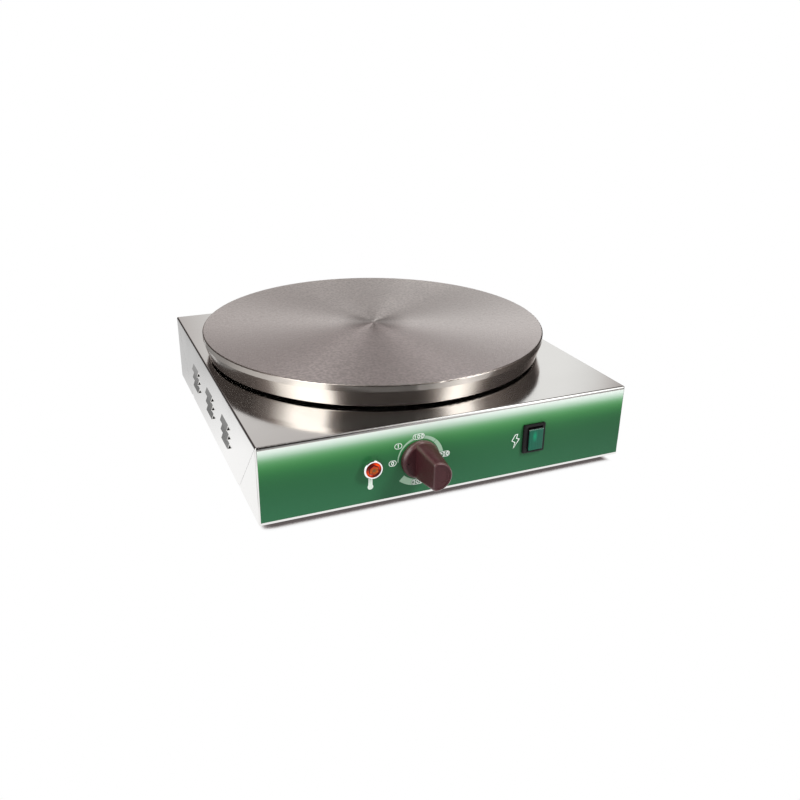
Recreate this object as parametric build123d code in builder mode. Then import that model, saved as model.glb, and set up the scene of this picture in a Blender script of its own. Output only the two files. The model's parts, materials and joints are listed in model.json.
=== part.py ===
from build123d import *

import os
from math import cos, radians, sin, tan

# Electric crepe maker: a round cast griddle standing just clear of a low folded steel box,
# with a thermostat knob, a pilot lamp and a rocker switch on the front.
# Frame: x to the right, y to the back, z up, origin on the floor under the middle of the whole.
# All sizes are in millimetres. "Reach" is how far a thing stands out of the front panel's steel.

# ---- driving dimensions ------------------------------------------------------------------------
BODY_W = 405.0          # folded box, side to side
BODY_D = 412.0          # front to back
BODY_H = 81.0           # lower edge to top sheet
SHEET = 1.0             # stainless sheet
BEND_R = 1.8            # outside radius of every fold
FLANGE_W = 14.0         # return flange under each wall
FOOT_H = 4.5            # floor to bottom plate

PLATE_R = 200.0         # cast griddle
PLATE_UP = 27.65        # its top, above the top sheet
PLATE_GAP = 2.9         # under its rim, above the top sheet
PLATE_BACK = 16.7       # its axis, behind the middle of the box
RIM_BAND = 7.0          # straight part of the rim
RIM_LOW_R = 194.6       # rim at its lower edge
RIM_WALL = 9.0
PLATE_THICK = 11.0

KNOB_REACH = 43.5
GLAND_REACH = 23.0

# ---- where the box stands ----------------------------------------------------------------------
BOX_Y = (KNOB_REACH - GLAND_REACH) / 2      # puts the origin under the middle of the whole
FRONT_Y = BOX_Y - BODY_D / 2
REAR_Y = BOX_Y + BODY_D / 2
PLATE_Y = BOX_Y + PLATE_BACK
BASE_Z = FOOT_H + SHEET                     # lower edge of the walls
TOP_Z = BASE_Z + BODY_H                     # top sheet, outside
RIM_Z = TOP_Z + PLATE_GAP
PLATE_Z = TOP_Z + PLATE_UP
CEILING_Z = PLATE_Z - PLATE_THICK           # underside of the griddle, inside its rim
CAVITY_R = RIM_LOW_R - RIM_WALL
INNER_FRONT_Y = FRONT_Y + SHEET
CONTROL_Z = BASE_Z + 40.3                   # knob, lamp and switch share this height

GAP = 0.05                                  # between pieces that only lie against each other
FILM_T = 0.4                                # printed overlay on the front panel
FILM_EDGE = 0.8                             # steel left bare beside it
FILM_LOW = 2.5                              # steel left bare below and above it
FILM_HIGH = 78.2

KNOB_X, LAMP_X, SWITCH_X = -39.2, -90.3, 90.7

# ---- planes ------------------------------------------------------------------------------------


def box_level(z):
    """Horizontal plane at height z, centred on the box."""
    return Plane(origin=(0, BOX_Y, z))


def plate_level(z):
    """Horizontal plane at height z, centred on the griddle."""
    return Plane(origin=(0, PLATE_Y, z))


def front_plane(x, reach=0.0, z=CONTROL_Z):
    """Plane facing the user: its x is +X, its y is +Z, extrusion is towards the user."""
    return Plane(origin=(x, FRONT_Y - reach, z), x_dir=(1, 0, 0), z_dir=(0, -1, 0))


def rear_plane(x, reach=0.0, z=CONTROL_Z):
    """Plane facing backwards: its y is +Z, extrusion is away from the box."""
    return Plane(origin=(x, REAR_Y + reach, z), x_dir=(-1, 0, 0), z_dir=(0, 1, 0))


def side_plane(side, y, z):
    """Cross-section of a side wall at y: its x points out of the box, its y is +Z."""
    return Plane(origin=(side * BODY_W / 2, y, z), x_dir=(side, 0, 0), z_dir=(0, -side, 0))


def upright_plane(x, y):
    """Plane through a vertical axis at (x, y), for turned pieces: its y is +Z."""
    return Plane(origin=(x, y, 0), x_dir=(1, 0, 0), z_dir=(0, -1, 0))


def on_plate(radius, angle):
    """Point at a radius and angle from the griddle's axis."""
    return radius * cos(radians(angle)), radius * sin(radians(angle))


def under_plate(radius, angle):
    """The same point in the whole object's frame."""
    x, y = on_plate(radius, angle)
    return x, PLATE_Y + y


# ---- body shell --------------------------------------------------------------------------------
SEAM_W = 0.4
SEAM_START = 2.6            # below the top sheet and behind the front fold
NOTCH_L, NOTCH_H = 12.0, 2.2

LOUVRE_L = 30.0
LOUVRE_OUT = 2.4
LOUVRE_T = 0.5                              # their hoods, drawn thinner than the sheet
LOUVRE_DROP = 6.4
LOUVRE_ROWS = (32.4, 42.9, 53.4)            # hinge lines above the lower edge
LOUVRE_PITCH_Y = 79.4
LOUVRE_FRONT = 131.7                        # middle of the front group, behind the front panel

LAMP_HOLE_R = 6.0
SHAFT_HOLE_R = 5.0
PANEL_SCREW_X = 14.0                        # thermostat screws, beside the shaft
PANEL_SCREW_R = 2.0
SWITCH_HOLE_W, SWITCH_HOLE_H = 22.4, 30.4
GLAND_X, GLAND_Z = 100.0, BASE_Z + 26.0
GLAND_THREAD_R = 10.0

POST_R = 105.0                              # circle of the three posts that carry the griddle
POST_ANGLES = (90, 210, 330)
POST_THREAD_R = 4.0
CLAMP_CIRCLE_R = 112.0
CLAMP_ANGLES = (30, 150, 270)
CLAMP_THREAD_R = 2.5

RING_OUTER, RING_INNER = 150.0, 75.0        # the two turns of the heating element
TUBE_R = 4.0
LEAD_ANGLE, TURN_ANGLE = 14.0, 340.0
LEAD_BEND = 10.0
BUSH_HOLE_R = 8.0

BULB_R, BULB_L = 3.0, 70.0
BULB_ANGLE = 240.0
CAPILLARY_R = 1.0
CAPILLARY_BEND = 8.0
CAPILLARY_HOLE_R = 4.0


def lead_point(ring_r):
    """Where an end of the heating element turns down, seen from above."""
    x, y = on_plate(ring_r, LEAD_ANGLE)
    return (x + LEAD_BEND * sin(radians(LEAD_ANGLE)),
            PLATE_Y + y - LEAD_BEND * cos(radians(LEAD_ANGLE)))


LEADS = [lead_point(RING_OUTER), lead_point(RING_INNER)]
POSTS = [under_plate(POST_R, angle) for angle in POST_ANGLES]
CLAMPS = [under_plate(CLAMP_CIRCLE_R, angle) for angle in CLAMP_ANGLES]

# the sensing bulb lies square to its radius, and its capillary turns down at its front end
bulb_along = (-sin(radians(BULB_ANGLE)), cos(radians(BULB_ANGLE)))
bulb_middle = under_plate(CLAMP_CIRCLE_R, BULB_ANGLE)
BULB_REAR = tuple(m - a * BULB_L / 2 for m, a in zip(bulb_middle, bulb_along))
BULB_END = tuple(m + a * BULB_L / 2 for m, a in zip(bulb_middle, bulb_along))
CAPILLARY_DOWN = tuple(e + a * CAPILLARY_BEND for e, a in zip(BULB_END, bulb_along))
BULB_Z = CEILING_Z - BULB_R - GAP

FLANGE_SCREWS = [(sx * (BODY_W / 2 - FLANGE_W / 2), y) for sx in (-1, 1) for y in (-140, 0, 140)]
FLANGE_SCREWS += [(0, sy * (BODY_D / 2 - FLANGE_W / 2)) for sy in (-1, 1)]
FLANGE_SCREW_R = 2.0
FOOT_X, FOOT_Y = 159.0, 163.0
EARTH_X, EARTH_Y = 172.0, 110.0
EARTH_R = 2.5

with BuildPart() as body_shell:
    with BuildSketch(box_level(BASE_Z)):
        Rectangle(BODY_W, BODY_D)
    extrude(amount=BODY_H)
    fillet(body_shell.edges().filter_by(Axis.Z), BEND_R)
    fillet(body_shell.faces().sort_by(Axis.Z)[-1].edges(), BEND_R)
    offset(amount=-SHEET, openings=body_shell.faces().sort_by(Axis.Z)[0])
    with BuildSketch(box_level(BASE_Z)):
        RectangleRounded(BODY_W - SHEET, BODY_D - SHEET, BEND_R)
        Rectangle(BODY_W - 2 * FLANGE_W, BODY_D - 2 * FLANGE_W, mode=Mode.SUBTRACT)
    extrude(amount=SHEET)
    # the front and rear panels fold round the corners and meet each side on a slanting seam
    with BuildSketch(Plane.YZ):
        for end_y, way in ((FRONT_Y, 1), (REAR_Y, -1)):
            high = (end_y + way * SEAM_START, TOP_Z - SEAM_START)
            low = (end_y + way * (SEAM_START + BODY_H), TOP_Z - SEAM_START - BODY_H)
            with BuildLine():
                Polyline(high, low, (low[0] + SEAM_W, low[1]), (high[0] + SEAM_W, high[1]), close=True)
            make_face()
            with Locations((end_y + way * (BODY_H - 1), BASE_Z + NOTCH_H / 2)):
                Rectangle(NOTCH_L, NOTCH_H)
    extrude(amount=BODY_W, both=True, mode=Mode.SUBTRACT)
    # louvres in three groups of three on each side: hoods closed behind and below, whose mouths
    # face the front
    for side in (-1, 1):
        for group in range(3):
            louvre_y = FRONT_Y + LOUVRE_FRONT + group * LOUVRE_PITCH_Y
            with BuildSketch(side_plane(side, louvre_y, BASE_Z)):
                for row in LOUVRE_ROWS:
                    with Locations((-SHEET / 2, row - LOUVRE_DROP / 2)):
                        Rectangle(SHEET + 1, LOUVRE_DROP)
            extrude(amount=LOUVRE_L / 2, both=True, mode=Mode.SUBTRACT)
            with BuildSketch(side_plane(side, louvre_y, BASE_Z)):
                for row in LOUVRE_ROWS:
                    with BuildLine():
                        Polyline((0, row + 0.2), (LOUVRE_OUT, row - LOUVRE_DROP), (0, row - LOUVRE_DROP - 0.2),
                                 (-SHEET, row - LOUVRE_DROP - 0.2), (-SHEET, row + 0.2), close=True)
                    make_face()
            extrude(amount=LOUVRE_L / 2, both=True)
            with BuildSketch(side_plane(side, louvre_y - LOUVRE_T, BASE_Z)):
                for row in LOUVRE_ROWS:
                    with BuildLine():
                        Polyline((-SHEET - 0.1, row - 0.9), (-LOUVRE_T, row - 0.9),
                                 (LOUVRE_OUT - LOUVRE_T - 0.1, row - LOUVRE_DROP + LOUVRE_T),
                                 (-SHEET - 0.1, row - LOUVRE_DROP + LOUVRE_T), close=True)
                    make_face()
            extrude(amount=LOUVRE_L / 2, both=True, mode=Mode.SUBTRACT)
    # front panel
    with BuildSketch(front_plane(0)):
        with Locations((LAMP_X, 0)):
            Circle(LAMP_HOLE_R)
        with Locations((KNOB_X, 0)):
            Circle(SHAFT_HOLE_R)
        with Locations((KNOB_X - PANEL_SCREW_X, 0), (KNOB_X + PANEL_SCREW_X, 0)):
            Circle(PANEL_SCREW_R + GAP)
        with Locations((SWITCH_X, 0)):
            Rectangle(SWITCH_HOLE_W, SWITCH_HOLE_H)
    extrude(amount=-2 * SHEET, mode=Mode.SUBTRACT)
    # rear panel
    with BuildSketch(rear_plane(GLAND_X, z=GLAND_Z)):
        Circle(GLAND_THREAD_R + GAP)
    extrude(amount=-2 * SHEET, mode=Mode.SUBTRACT)
    # top sheet
    with BuildSketch(Plane.XY.offset(TOP_Z)):
        with Locations(*POSTS):
            Circle(POST_THREAD_R + 0.5)
        with Locations(*LEADS):
            Circle(BUSH_HOLE_R)
        with Locations(CAPILLARY_DOWN):
            Circle(CAPILLARY_HOLE_R)
    extrude(amount=-2 * SHEET, mode=Mode.SUBTRACT)
    # flange
    with BuildSketch(box_level(BASE_Z)):
        with Locations(*FLANGE_SCREWS):
            Circle(FLANGE_SCREW_R + GAP)
    extrude(amount=2 * SHEET, mode=Mode.SUBTRACT)

# ---- strips spot-welded behind the slanting seams ----------------------------------------------
STRAP_W, STRAP_T = 18.0, 1.0
STRAP_LOW, STRAP_HIGH = 6.0, 66.0           # above the lower edge

with BuildPart() as seam_straps:
    for side in (-1, 1):
        with BuildSketch(Plane.YZ.offset(side * (BODY_W / 2 - SHEET - STRAP_T))):
            for end_y, way in ((FRONT_Y, 1), (REAR_Y, -1)):
                seam_foot = end_y + way * BODY_H
                low_y, high_y = seam_foot - way * STRAP_LOW, seam_foot - way * STRAP_HIGH
                with BuildLine():
                    Polyline((low_y - STRAP_W / 2, BASE_Z + STRAP_LOW),
                             (low_y + STRAP_W / 2, BASE_Z + STRAP_LOW),
                             (high_y + STRAP_W / 2, BASE_Z + STRAP_HIGH),
                             (high_y - STRAP_W / 2, BASE_Z + STRAP_HIGH), close=True)
                make_face()
        extrude(amount=side * STRAP_T)

# ---- printed overlay ---------------------------------------------------------------------------
with BuildPart() as front_overlay:
    film_mid = BASE_Z + (FILM_LOW + FILM_HIGH) / 2
    with BuildSketch(front_plane(0, z=film_mid)):
        Rectangle(BODY_W - 2 * FILM_EDGE - 2 * BEND_R + 2, FILM_HIGH - FILM_LOW)
    extrude(amount=FILM_T)
    with BuildSketch(front_plane(0)):
        with Locations((LAMP_X, 0)):
            Circle(LAMP_HOLE_R)
        with Locations((KNOB_X, 0)):
            Circle(SHAFT_HOLE_R)
        with Locations((KNOB_X - PANEL_SCREW_X, 0), (KNOB_X + PANEL_SCREW_X, 0)):
            Circle(PANEL_SCREW_R + GAP)
        with Locations((SWITCH_X, 0)):
            Rectangle(SWITCH_HOLE_W, SWITCH_HOLE_H)
    extrude(amount=2 * FILM_T, mode=Mode.SUBTRACT)

# ---- bottom plate, its screws and the feet -----------------------------------------------------
BOTTOM_INSET = 3.0
VENT_L, VENT_W = 36.0, 5.0
FOOT_R_TOP, FOOT_R_LOW = 13.0, 10.5
FOOT_BOLT_R = 2.5
FOOT_BOLT_HEAD_R, FOOT_BOLT_HEAD_H = 4.5, 1.7
FOOT_BOLT_UP = 9.0                          # above the bottom plate's upper face
FOOT_FLOOR = 2.2                            # rubber between the bolt head and the bottom plate
FOOT_RECESS_R = FOOT_BOLT_HEAD_R + 0.3

with BuildPart() as bottom_plate:
    with BuildSketch(box_level(FOOT_H)):
        RectangleRounded(BODY_W - 2 * BOTTOM_INSET, BODY_D - 2 * BOTTOM_INSET, 4)
        with GridLocations(2 * FOOT_X, 2 * FOOT_Y, 2, 2):
            Circle(FOOT_BOLT_R + GAP, mode=Mode.SUBTRACT)
        with Locations(*FLANGE_SCREWS):
            Circle(FLANGE_SCREW_R + GAP, mode=Mode.SUBTRACT)
        with GridLocations(150, 16, 2, 6):
            SlotOverall(VENT_L, VENT_W, mode=Mode.SUBTRACT)
        with Locations((EARTH_X, EARTH_Y - BOX_Y)):
            Circle(EARTH_R + GAP, mode=Mode.SUBTRACT)
    extrude(amount=SHEET)

SCREW_HEAD_R, SCREW_HEAD_H, SCREW_L = 3.8, 2.2, 7.5

with BuildPart() as bottom_screws:
    for x, y in FLANGE_SCREWS:
        with BuildSketch(upright_plane(x, BOX_Y + y)):
            with BuildLine():
                Polyline((0, FOOT_H - SCREW_HEAD_H), (SCREW_HEAD_R - 1.2, FOOT_H - SCREW_HEAD_H),
                         (SCREW_HEAD_R, FOOT_H - SCREW_HEAD_H / 2), (SCREW_HEAD_R, FOOT_H),
                         (FLANGE_SCREW_R, FOOT_H), (FLANGE_SCREW_R, FOOT_H + SCREW_L - 1.5),
                         (0.8, FOOT_H + SCREW_L), (0, FOOT_H + SCREW_L), close=True)
            make_face()
        revolve(axis=Axis((x, BOX_Y + y, 0), (0, 0, 1)))

FEET = [(sx * FOOT_X, BOX_Y + sy * FOOT_Y) for sx in (-1, 1) for sy in (-1, 1)]

with BuildPart() as rubber_feet:
    for x, y in FEET:
        with BuildSketch(upright_plane(x, y)):
            with BuildLine():
                Polyline((FOOT_RECESS_R, 0), (FOOT_R_LOW - 0.8, 0), (FOOT_R_LOW, 0.8),
                         (FOOT_R_TOP, FOOT_H), (FOOT_BOLT_R + GAP, FOOT_H),
                         (FOOT_BOLT_R + GAP, FOOT_H - FOOT_FLOOR),
                         (FOOT_RECESS_R, FOOT_H - FOOT_FLOOR), close=True)
            make_face()
        revolve(axis=Axis((x, y, 0), (0, 0, 1)))

with BuildPart() as foot_bolts:
    for x, y in FEET:
        head_top = FOOT_H - FOOT_FLOOR
        with BuildSketch(upright_plane(x, y)):
            with BuildLine():
                Polyline((0, head_top - FOOT_BOLT_HEAD_H), (3.4, head_top - FOOT_BOLT_HEAD_H),
                         (FOOT_BOLT_HEAD_R, head_top - 0.9), (FOOT_BOLT_HEAD_R, head_top),
                         (FOOT_BOLT_R, head_top), (FOOT_BOLT_R, BASE_Z + FOOT_BOLT_UP),
                         (0, BASE_Z + FOOT_BOLT_UP), close=True)
            make_face()
        revolve(axis=Axis((x, y, 0), (0, 0, 1)))


def hex_nuts(points, z, across_flats, height, hole_r):
    """Hexagon nuts standing on level z, added to the part being built."""
    with BuildSketch(Plane.XY.offset(z)) as outline:
        with Locations(*points):
            RegularPolygon(across_flats / 2, 6, major_radius=False)
            Circle(hole_r, mode=Mode.SUBTRACT)
    extrude(outline.sketch, amount=height)


M5_AF, M5_H = 8.0, 4.0

with BuildPart() as foot_nuts:
    hex_nuts(FEET, BASE_Z, M5_AF, M5_H, FOOT_BOLT_R + GAP)

# ---- griddle -----------------------------------------------------------------------------------
EDGE_R = 1.3
POST_DEPTH, CLAMP_DEPTH = 7.0, 6.0          # blind threads up into the casting
PLATE_AXIS = Axis((0, PLATE_Y, 0), (0, 0, 1))

with BuildPart() as griddle_plate:
    with BuildSketch(upright_plane(0, PLATE_Y)):
        with BuildLine():
            Polyline((0, PLATE_Z), (PLATE_R, PLATE_Z), (PLATE_R, PLATE_Z - RIM_BAND),
                     (RIM_LOW_R, RIM_Z), (CAVITY_R, RIM_Z), (CAVITY_R, CEILING_Z),
                     (0, CEILING_Z), close=True)
        make_face()
    revolve(axis=PLATE_AXIS)
    rim_edges = griddle_plate.edges().filter_by(GeomType.CIRCLE)
    fillet(rim_edges.filter_by(lambda e: e.radius > PLATE_R - 0.1).sort_by(Axis.Z)[-1], EDGE_R)
    fillet(griddle_plate.edges().filter_by(
        lambda e: e.geom_type == GeomType.CIRCLE and abs(e.radius - RIM_LOW_R) < 0.1), EDGE_R)
    with BuildSketch(Plane.XY.offset(CEILING_Z)):
        with Locations(*POSTS):
            Circle(POST_THREAD_R + GAP)
    extrude(amount=POST_DEPTH, mode=Mode.SUBTRACT)
    with BuildSketch(Plane.XY.offset(CEILING_Z)):
        with Locations(*CLAMPS):
            Circle(CLAMP_THREAD_R + GAP)
    extrude(amount=CLAMP_DEPTH, mode=Mode.SUBTRACT)

# ---- heating element: one tube in two turns, with both ends turned down through the top sheet ----
TUBE_Z = CEILING_Z - TUBE_R - GAP
LEAD_LOW_Z = TOP_Z - 20.0
PIN_R, PIN_L = 1.6, 9.0
INSULATOR_H = 2.5                           # ceramic bead that closes each end of the tube

with BuildPart() as heating_element:
    with BuildLine(plate_level(TUBE_Z)) as rings:
        ring_mid, turn_r = (RING_OUTER + RING_INNER) / 2, (RING_OUTER - RING_INNER) / 2
        CenterArc((0, 0), RING_OUTER, LEAD_ANGLE, TURN_ANGLE - LEAD_ANGLE)
        CenterArc(on_plate(ring_mid, TURN_ANGLE), turn_r, TURN_ANGLE, 180)
        CenterArc((0, 0), RING_INNER, TURN_ANGLE, LEAD_ANGLE - TURN_ANGLE)
    start_x, start_y = under_plate(RING_OUTER, LEAD_ANGLE)
    along = Vector(-sin(radians(LEAD_ANGLE)), cos(radians(LEAD_ANGLE)), 0)
    with BuildSketch(Plane(origin=(start_x, start_y, TUBE_Z), z_dir=along)):
        Circle(TUBE_R)
    sweep(path=rings.line)
    for ring_r in (RING_OUTER, RING_INNER):
        end_x, end_y = under_plate(ring_r, LEAD_ANGLE)
        end = Vector(end_x, end_y, TUBE_Z)
        with BuildLine() as lead:
            turned = end - along * LEAD_BEND - Vector(0, 0, LEAD_BEND)
            middle = (end - Vector(0, 0, LEAD_BEND) - along * (LEAD_BEND * sin(radians(45)))
                      + Vector(0, 0, LEAD_BEND * cos(radians(45))))
            ThreePointArc(end, middle, turned)
            Line(turned, Vector(turned.X, turned.Y, LEAD_LOW_Z))
        with BuildSketch(Plane(origin=end, z_dir=along * -1)):
            Circle(TUBE_R)
        sweep(path=lead.line)

with BuildPart() as element_pins:
    with BuildSketch(Plane.XY.offset(LEAD_LOW_Z)):
        with Locations(*LEADS):
            Circle(TUBE_R + 0.6)
    extrude(amount=-INSULATOR_H)
    with BuildSketch(Plane.XY.offset(LEAD_LOW_Z)):
        with Locations(*LEADS):
            Circle(PIN_R)
    extrude(amount=-PIN_L)

BUSH_BORE_R, BUSH_RIM_R = TUBE_R + 0.25, 11.0
BUSH_UP, BUSH_DOWN = 1.6, 7.0               # above and below the top sheet

with BuildPart() as lead_bushes:
    for x, y in LEADS:
        with BuildSketch(upright_plane(x, y)):
            with BuildLine():
                Polyline((BUSH_BORE_R, TOP_Z + BUSH_UP), (BUSH_RIM_R, TOP_Z + BUSH_UP),
                         (BUSH_RIM_R, TOP_Z), (BUSH_HOLE_R - GAP, TOP_Z),
                         (BUSH_HOLE_R - GAP, TOP_Z - BUSH_DOWN),
                         (BUSH_BORE_R, TOP_Z - BUSH_DOWN), close=True)
            make_face()
        revolve(axis=Axis((x, y, 0), (0, 0, 1)))

# ---- clamping bars under the element, insulation and heat shield -------------------------------
BAR_W, BAR_T = 18.0, 1.5
BAR_L = 100.0
BAR_Z = TUBE_Z - TUBE_R - GAP               # upper face of the bars
MAT_T, SHIELD_T = 2.6, 1.0
MAT_R, SHIELD_R = CAVITY_R - 4.0, CAVITY_R - 0.6
SHIELD_Z = RIM_Z + 0.4                      # lower face of the shield
MAT_Z = SHIELD_Z + SHIELD_T
CLAMP_NUT_AF, CLAMP_NUT_H = 8.0, 2.6
SPACER_R = 8.0
CLAMP_STUD_LOW_Z = SHIELD_Z - CLAMP_NUT_H

with BuildPart() as clamp_bars:
    for angle, (x, y) in zip(CLAMP_ANGLES, CLAMPS):
        bar_plane = Plane(origin=(x, y, BAR_Z), x_dir=(cos(radians(angle)), sin(radians(angle)), 0))
        with BuildSketch(bar_plane):
            RectangleRounded(BAR_L, BAR_W, 3)
            Circle(CLAMP_THREAD_R + GAP, mode=Mode.SUBTRACT)
        extrude(amount=-BAR_T)

with BuildPart() as clamp_studs:
    with BuildSketch(Plane.XY.offset(CLAMP_STUD_LOW_Z)):
        with Locations(*CLAMPS):
            Circle(CLAMP_THREAD_R)
    extrude(amount=CEILING_Z + CLAMP_DEPTH - 1 - CLAMP_STUD_LOW_Z)

with BuildPart() as clamp_nuts:
    hex_nuts(CLAMPS, BAR_Z - BAR_T - CLAMP_NUT_H, CLAMP_NUT_AF, CLAMP_NUT_H, CLAMP_THREAD_R + GAP)

with BuildPart() as shield_nuts:
    hex_nuts(CLAMPS, CLAMP_STUD_LOW_Z, CLAMP_NUT_AF, CLAMP_NUT_H, CLAMP_THREAD_R + GAP)


def cavity_disc(radius, z, thickness, clamp_hole_r, lead_hole_r, capillary_hole_r):
    """Disc in the griddle's underside with holes for posts, studs, element ends and capillary."""
    with BuildSketch(Plane.XY.offset(z)) as disc:
        with Locations((0, PLATE_Y)):
            Circle(radius)
        with Locations(*POSTS):
            Circle(SPACER_R + 0.5, mode=Mode.SUBTRACT)
        with Locations(*CLAMPS):
            Circle(clamp_hole_r, mode=Mode.SUBTRACT)
        with Locations(*LEADS):
            Circle(lead_hole_r, mode=Mode.SUBTRACT)
        with Locations(CAPILLARY_DOWN):
            Circle(capillary_hole_r, mode=Mode.SUBTRACT)
    extrude(disc.sketch, amount=thickness)


with BuildPart() as insulation_mat:
    cavity_disc(MAT_R, MAT_Z, MAT_T, 6.0, 12.0, 12.0)

with BuildPart() as heat_shield:
    cavity_disc(SHIELD_R, SHIELD_Z, SHIELD_T, CLAMP_THREAD_R + GAP, 10.0, 8.0)

# ---- posts that carry the griddle, and the rails under the top sheet ----------------------------
RAIL_W, RAIL_DROP, RAIL_T = 30.0, 15.0, 1.5
RAIL_L = BODY_W - 2 * SHEET - 2.0
RAIL_Z = TOP_Z - SHEET - RAIL_DROP
POST_NUT_AF, POST_NUT_H = 13.0, 6.5
WASHER_R, WASHER_T = 8.0, 1.6
POST_NUT_Z = TOP_Z - SHEET - RAIL_T - WASHER_T - POST_NUT_H
POST_TAIL = 2.0                             # thread below the nut

with BuildPart() as support_rails:
    for rail_y in sorted({round(y, 6) for x, y in POSTS}):
        rail_end = Plane(origin=(-RAIL_L / 2, rail_y, RAIL_Z), x_dir=(0, 1, 0), z_dir=(1, 0, 0))
        with BuildSketch(rail_end):
            Rectangle(RAIL_W, RAIL_DROP, align=(Align.CENTER, Align.MIN))
            Rectangle(RAIL_W - 2 * RAIL_T, RAIL_DROP - RAIL_T, align=(Align.CENTER, Align.MIN),
                      mode=Mode.SUBTRACT)
        extrude(amount=RAIL_L)
    with BuildSketch(Plane.XY.offset(TOP_Z)):
        with Locations(*POSTS):
            Circle(POST_THREAD_R + 0.5)
    extrude(amount=-RAIL_DROP, mode=Mode.SUBTRACT)

with BuildPart() as plate_posts:
    with BuildSketch(Plane.XY.offset(POST_NUT_Z - POST_TAIL)):
        with Locations(*POSTS):
            Circle(POST_THREAD_R)
    extrude(amount=CEILING_Z + POST_DEPTH - 1 - POST_NUT_Z + POST_TAIL)

with BuildPart() as post_spacers:
    with BuildSketch(Plane.XY.offset(TOP_Z)):
        with Locations(*POSTS):
            Circle(SPACER_R)
            Circle(POST_THREAD_R + GAP, mode=Mode.SUBTRACT)
    extrude(amount=CEILING_Z - TOP_Z)

with BuildPart() as post_washers:
    with BuildSketch(Plane.XY.offset(POST_NUT_Z + POST_NUT_H)):
        with Locations(*POSTS):
            Circle(WASHER_R)
            Circle(POST_THREAD_R + GAP, mode=Mode.SUBTRACT)
    extrude(amount=WASHER_T)

with BuildPart() as post_nuts:
    hex_nuts(POSTS, POST_NUT_Z, POST_NUT_AF, POST_NUT_H, POST_THREAD_R + GAP)

# ---- thermostat with its shaft, capillary and bulb ---------------------------------------------
SHAFT_R = 3.0
SHAFT_CLEAR = 0.05
STAT_W, STAT_H, STAT_D = 42.0, 36.0, 30.0
STAT_BACK_Y = INNER_FRONT_Y + STAT_D
SHAFT_IN = 13.0                             # end of the shaft, inside the steel's outer face
STAT_PLATE_T = 2.0                          # its mounting plate, against the front panel
STAT_SCREW_HEAD_R, STAT_SCREW_HEAD_H, STAT_SCREW_L = 3.2, 1.8, 6.0
TAB_W, TAB_T, TAB_L = 6.3, 0.8, 8.0

with BuildPart() as thermostat_body:
    with BuildSketch(front_plane(KNOB_X, -SHEET)):
        RectangleRounded(STAT_W, STAT_H * 0.72, 3)
    extrude(amount=-STAT_PLATE_T)
    with BuildSketch(front_plane(KNOB_X, -SHEET - STAT_PLATE_T)):
        RectangleRounded(STAT_W - 4, STAT_H, 2)
    extrude(amount=-(STAT_D - STAT_PLATE_T))
    with BuildSketch(front_plane(KNOB_X, -SHEET)):
        Circle(SHAFT_R + SHAFT_CLEAR)
    extrude(amount=-(SHAFT_IN + 0.5 - SHEET), mode=Mode.SUBTRACT)
    with BuildSketch(front_plane(KNOB_X, -SHEET)):
        with Locations((-PANEL_SCREW_X, 0), (PANEL_SCREW_X, 0)):
            Circle(PANEL_SCREW_R + GAP)
    extrude(amount=-(STAT_SCREW_L + 2.0), mode=Mode.SUBTRACT)

with BuildPart() as thermostat_screws:
    for sign in (-1, 1):
        x = KNOB_X + sign * PANEL_SCREW_X
        with BuildSketch(front_plane(x, FILM_T + GAP)):
            Circle(STAT_SCREW_HEAD_R)
        extrude(amount=STAT_SCREW_HEAD_H)
        with BuildSketch(front_plane(x, FILM_T + GAP)):
            Circle(PANEL_SCREW_R)
        extrude(amount=-(FILM_T + SHEET + STAT_SCREW_L))

STAT_TABS = [(KNOB_X + dx, STAT_BACK_Y, CONTROL_Z - 6.0) for dx in (-12.0, 12.0)]

with BuildPart() as thermostat_tabs:
    for x, y, z in STAT_TABS:
        with BuildSketch(Plane(origin=(x, y, z), x_dir=(1, 0, 0), z_dir=(0, 1, 0))):
            Rectangle(TAB_W, TAB_T)
        extrude(amount=TAB_L)


def bend_radii(points, most):
    """Largest sensible bend at each inner point of a route, no more than most."""
    radii = []
    for before, here, after in zip(points, points[1:], points[2:]):
        run_in, run_out = Vector(*here) - Vector(*before), Vector(*after) - Vector(*here)
        turn = radians(run_in.get_angle(run_out))
        radii.append(min(most, 0.45 * min(run_in.length, run_out.length) / tan(turn / 2)))
    return radii


def tube(points, radius, most):
    """Round tube or wire along a route of straight runs joined by arcs."""
    with BuildLine() as route:
        FilletPolyline(*points, radius=bend_radii(points, most))
    heading = Vector(*points[1]) - Vector(*points[0])
    with BuildSketch(Plane(origin=points[0], z_dir=heading)) as section:
        Circle(radius)
    sweep(section.sketch, path=route.line)


with BuildPart() as sensing_bulb:
    bulb_heading = Vector(*bulb_along, 0)
    with BuildSketch(Plane(origin=(*BULB_REAR, BULB_Z), z_dir=bulb_heading)):
        Circle(BULB_R)
    extrude(amount=BULB_L)

STAT_TOP = (KNOB_X + 12.0, INNER_FRONT_Y + 20.0, CONTROL_Z + STAT_H / 2)

with BuildPart() as capillary_tube:
    down_x, down_y = CAPILLARY_DOWN
    top_x, top_y, top_z = STAT_TOP
    tube([(*BULB_END, BULB_Z), (down_x, down_y, BULB_Z), (down_x, down_y, TOP_Z - 12),
          (down_x - 6, down_y - 30, TOP_Z - 16), (top_x, top_y + 16, top_z + 10),
          (top_x, top_y, top_z + 11), (top_x, top_y, top_z + GAP)], CAPILLARY_R, CAPILLARY_BEND)

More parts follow.
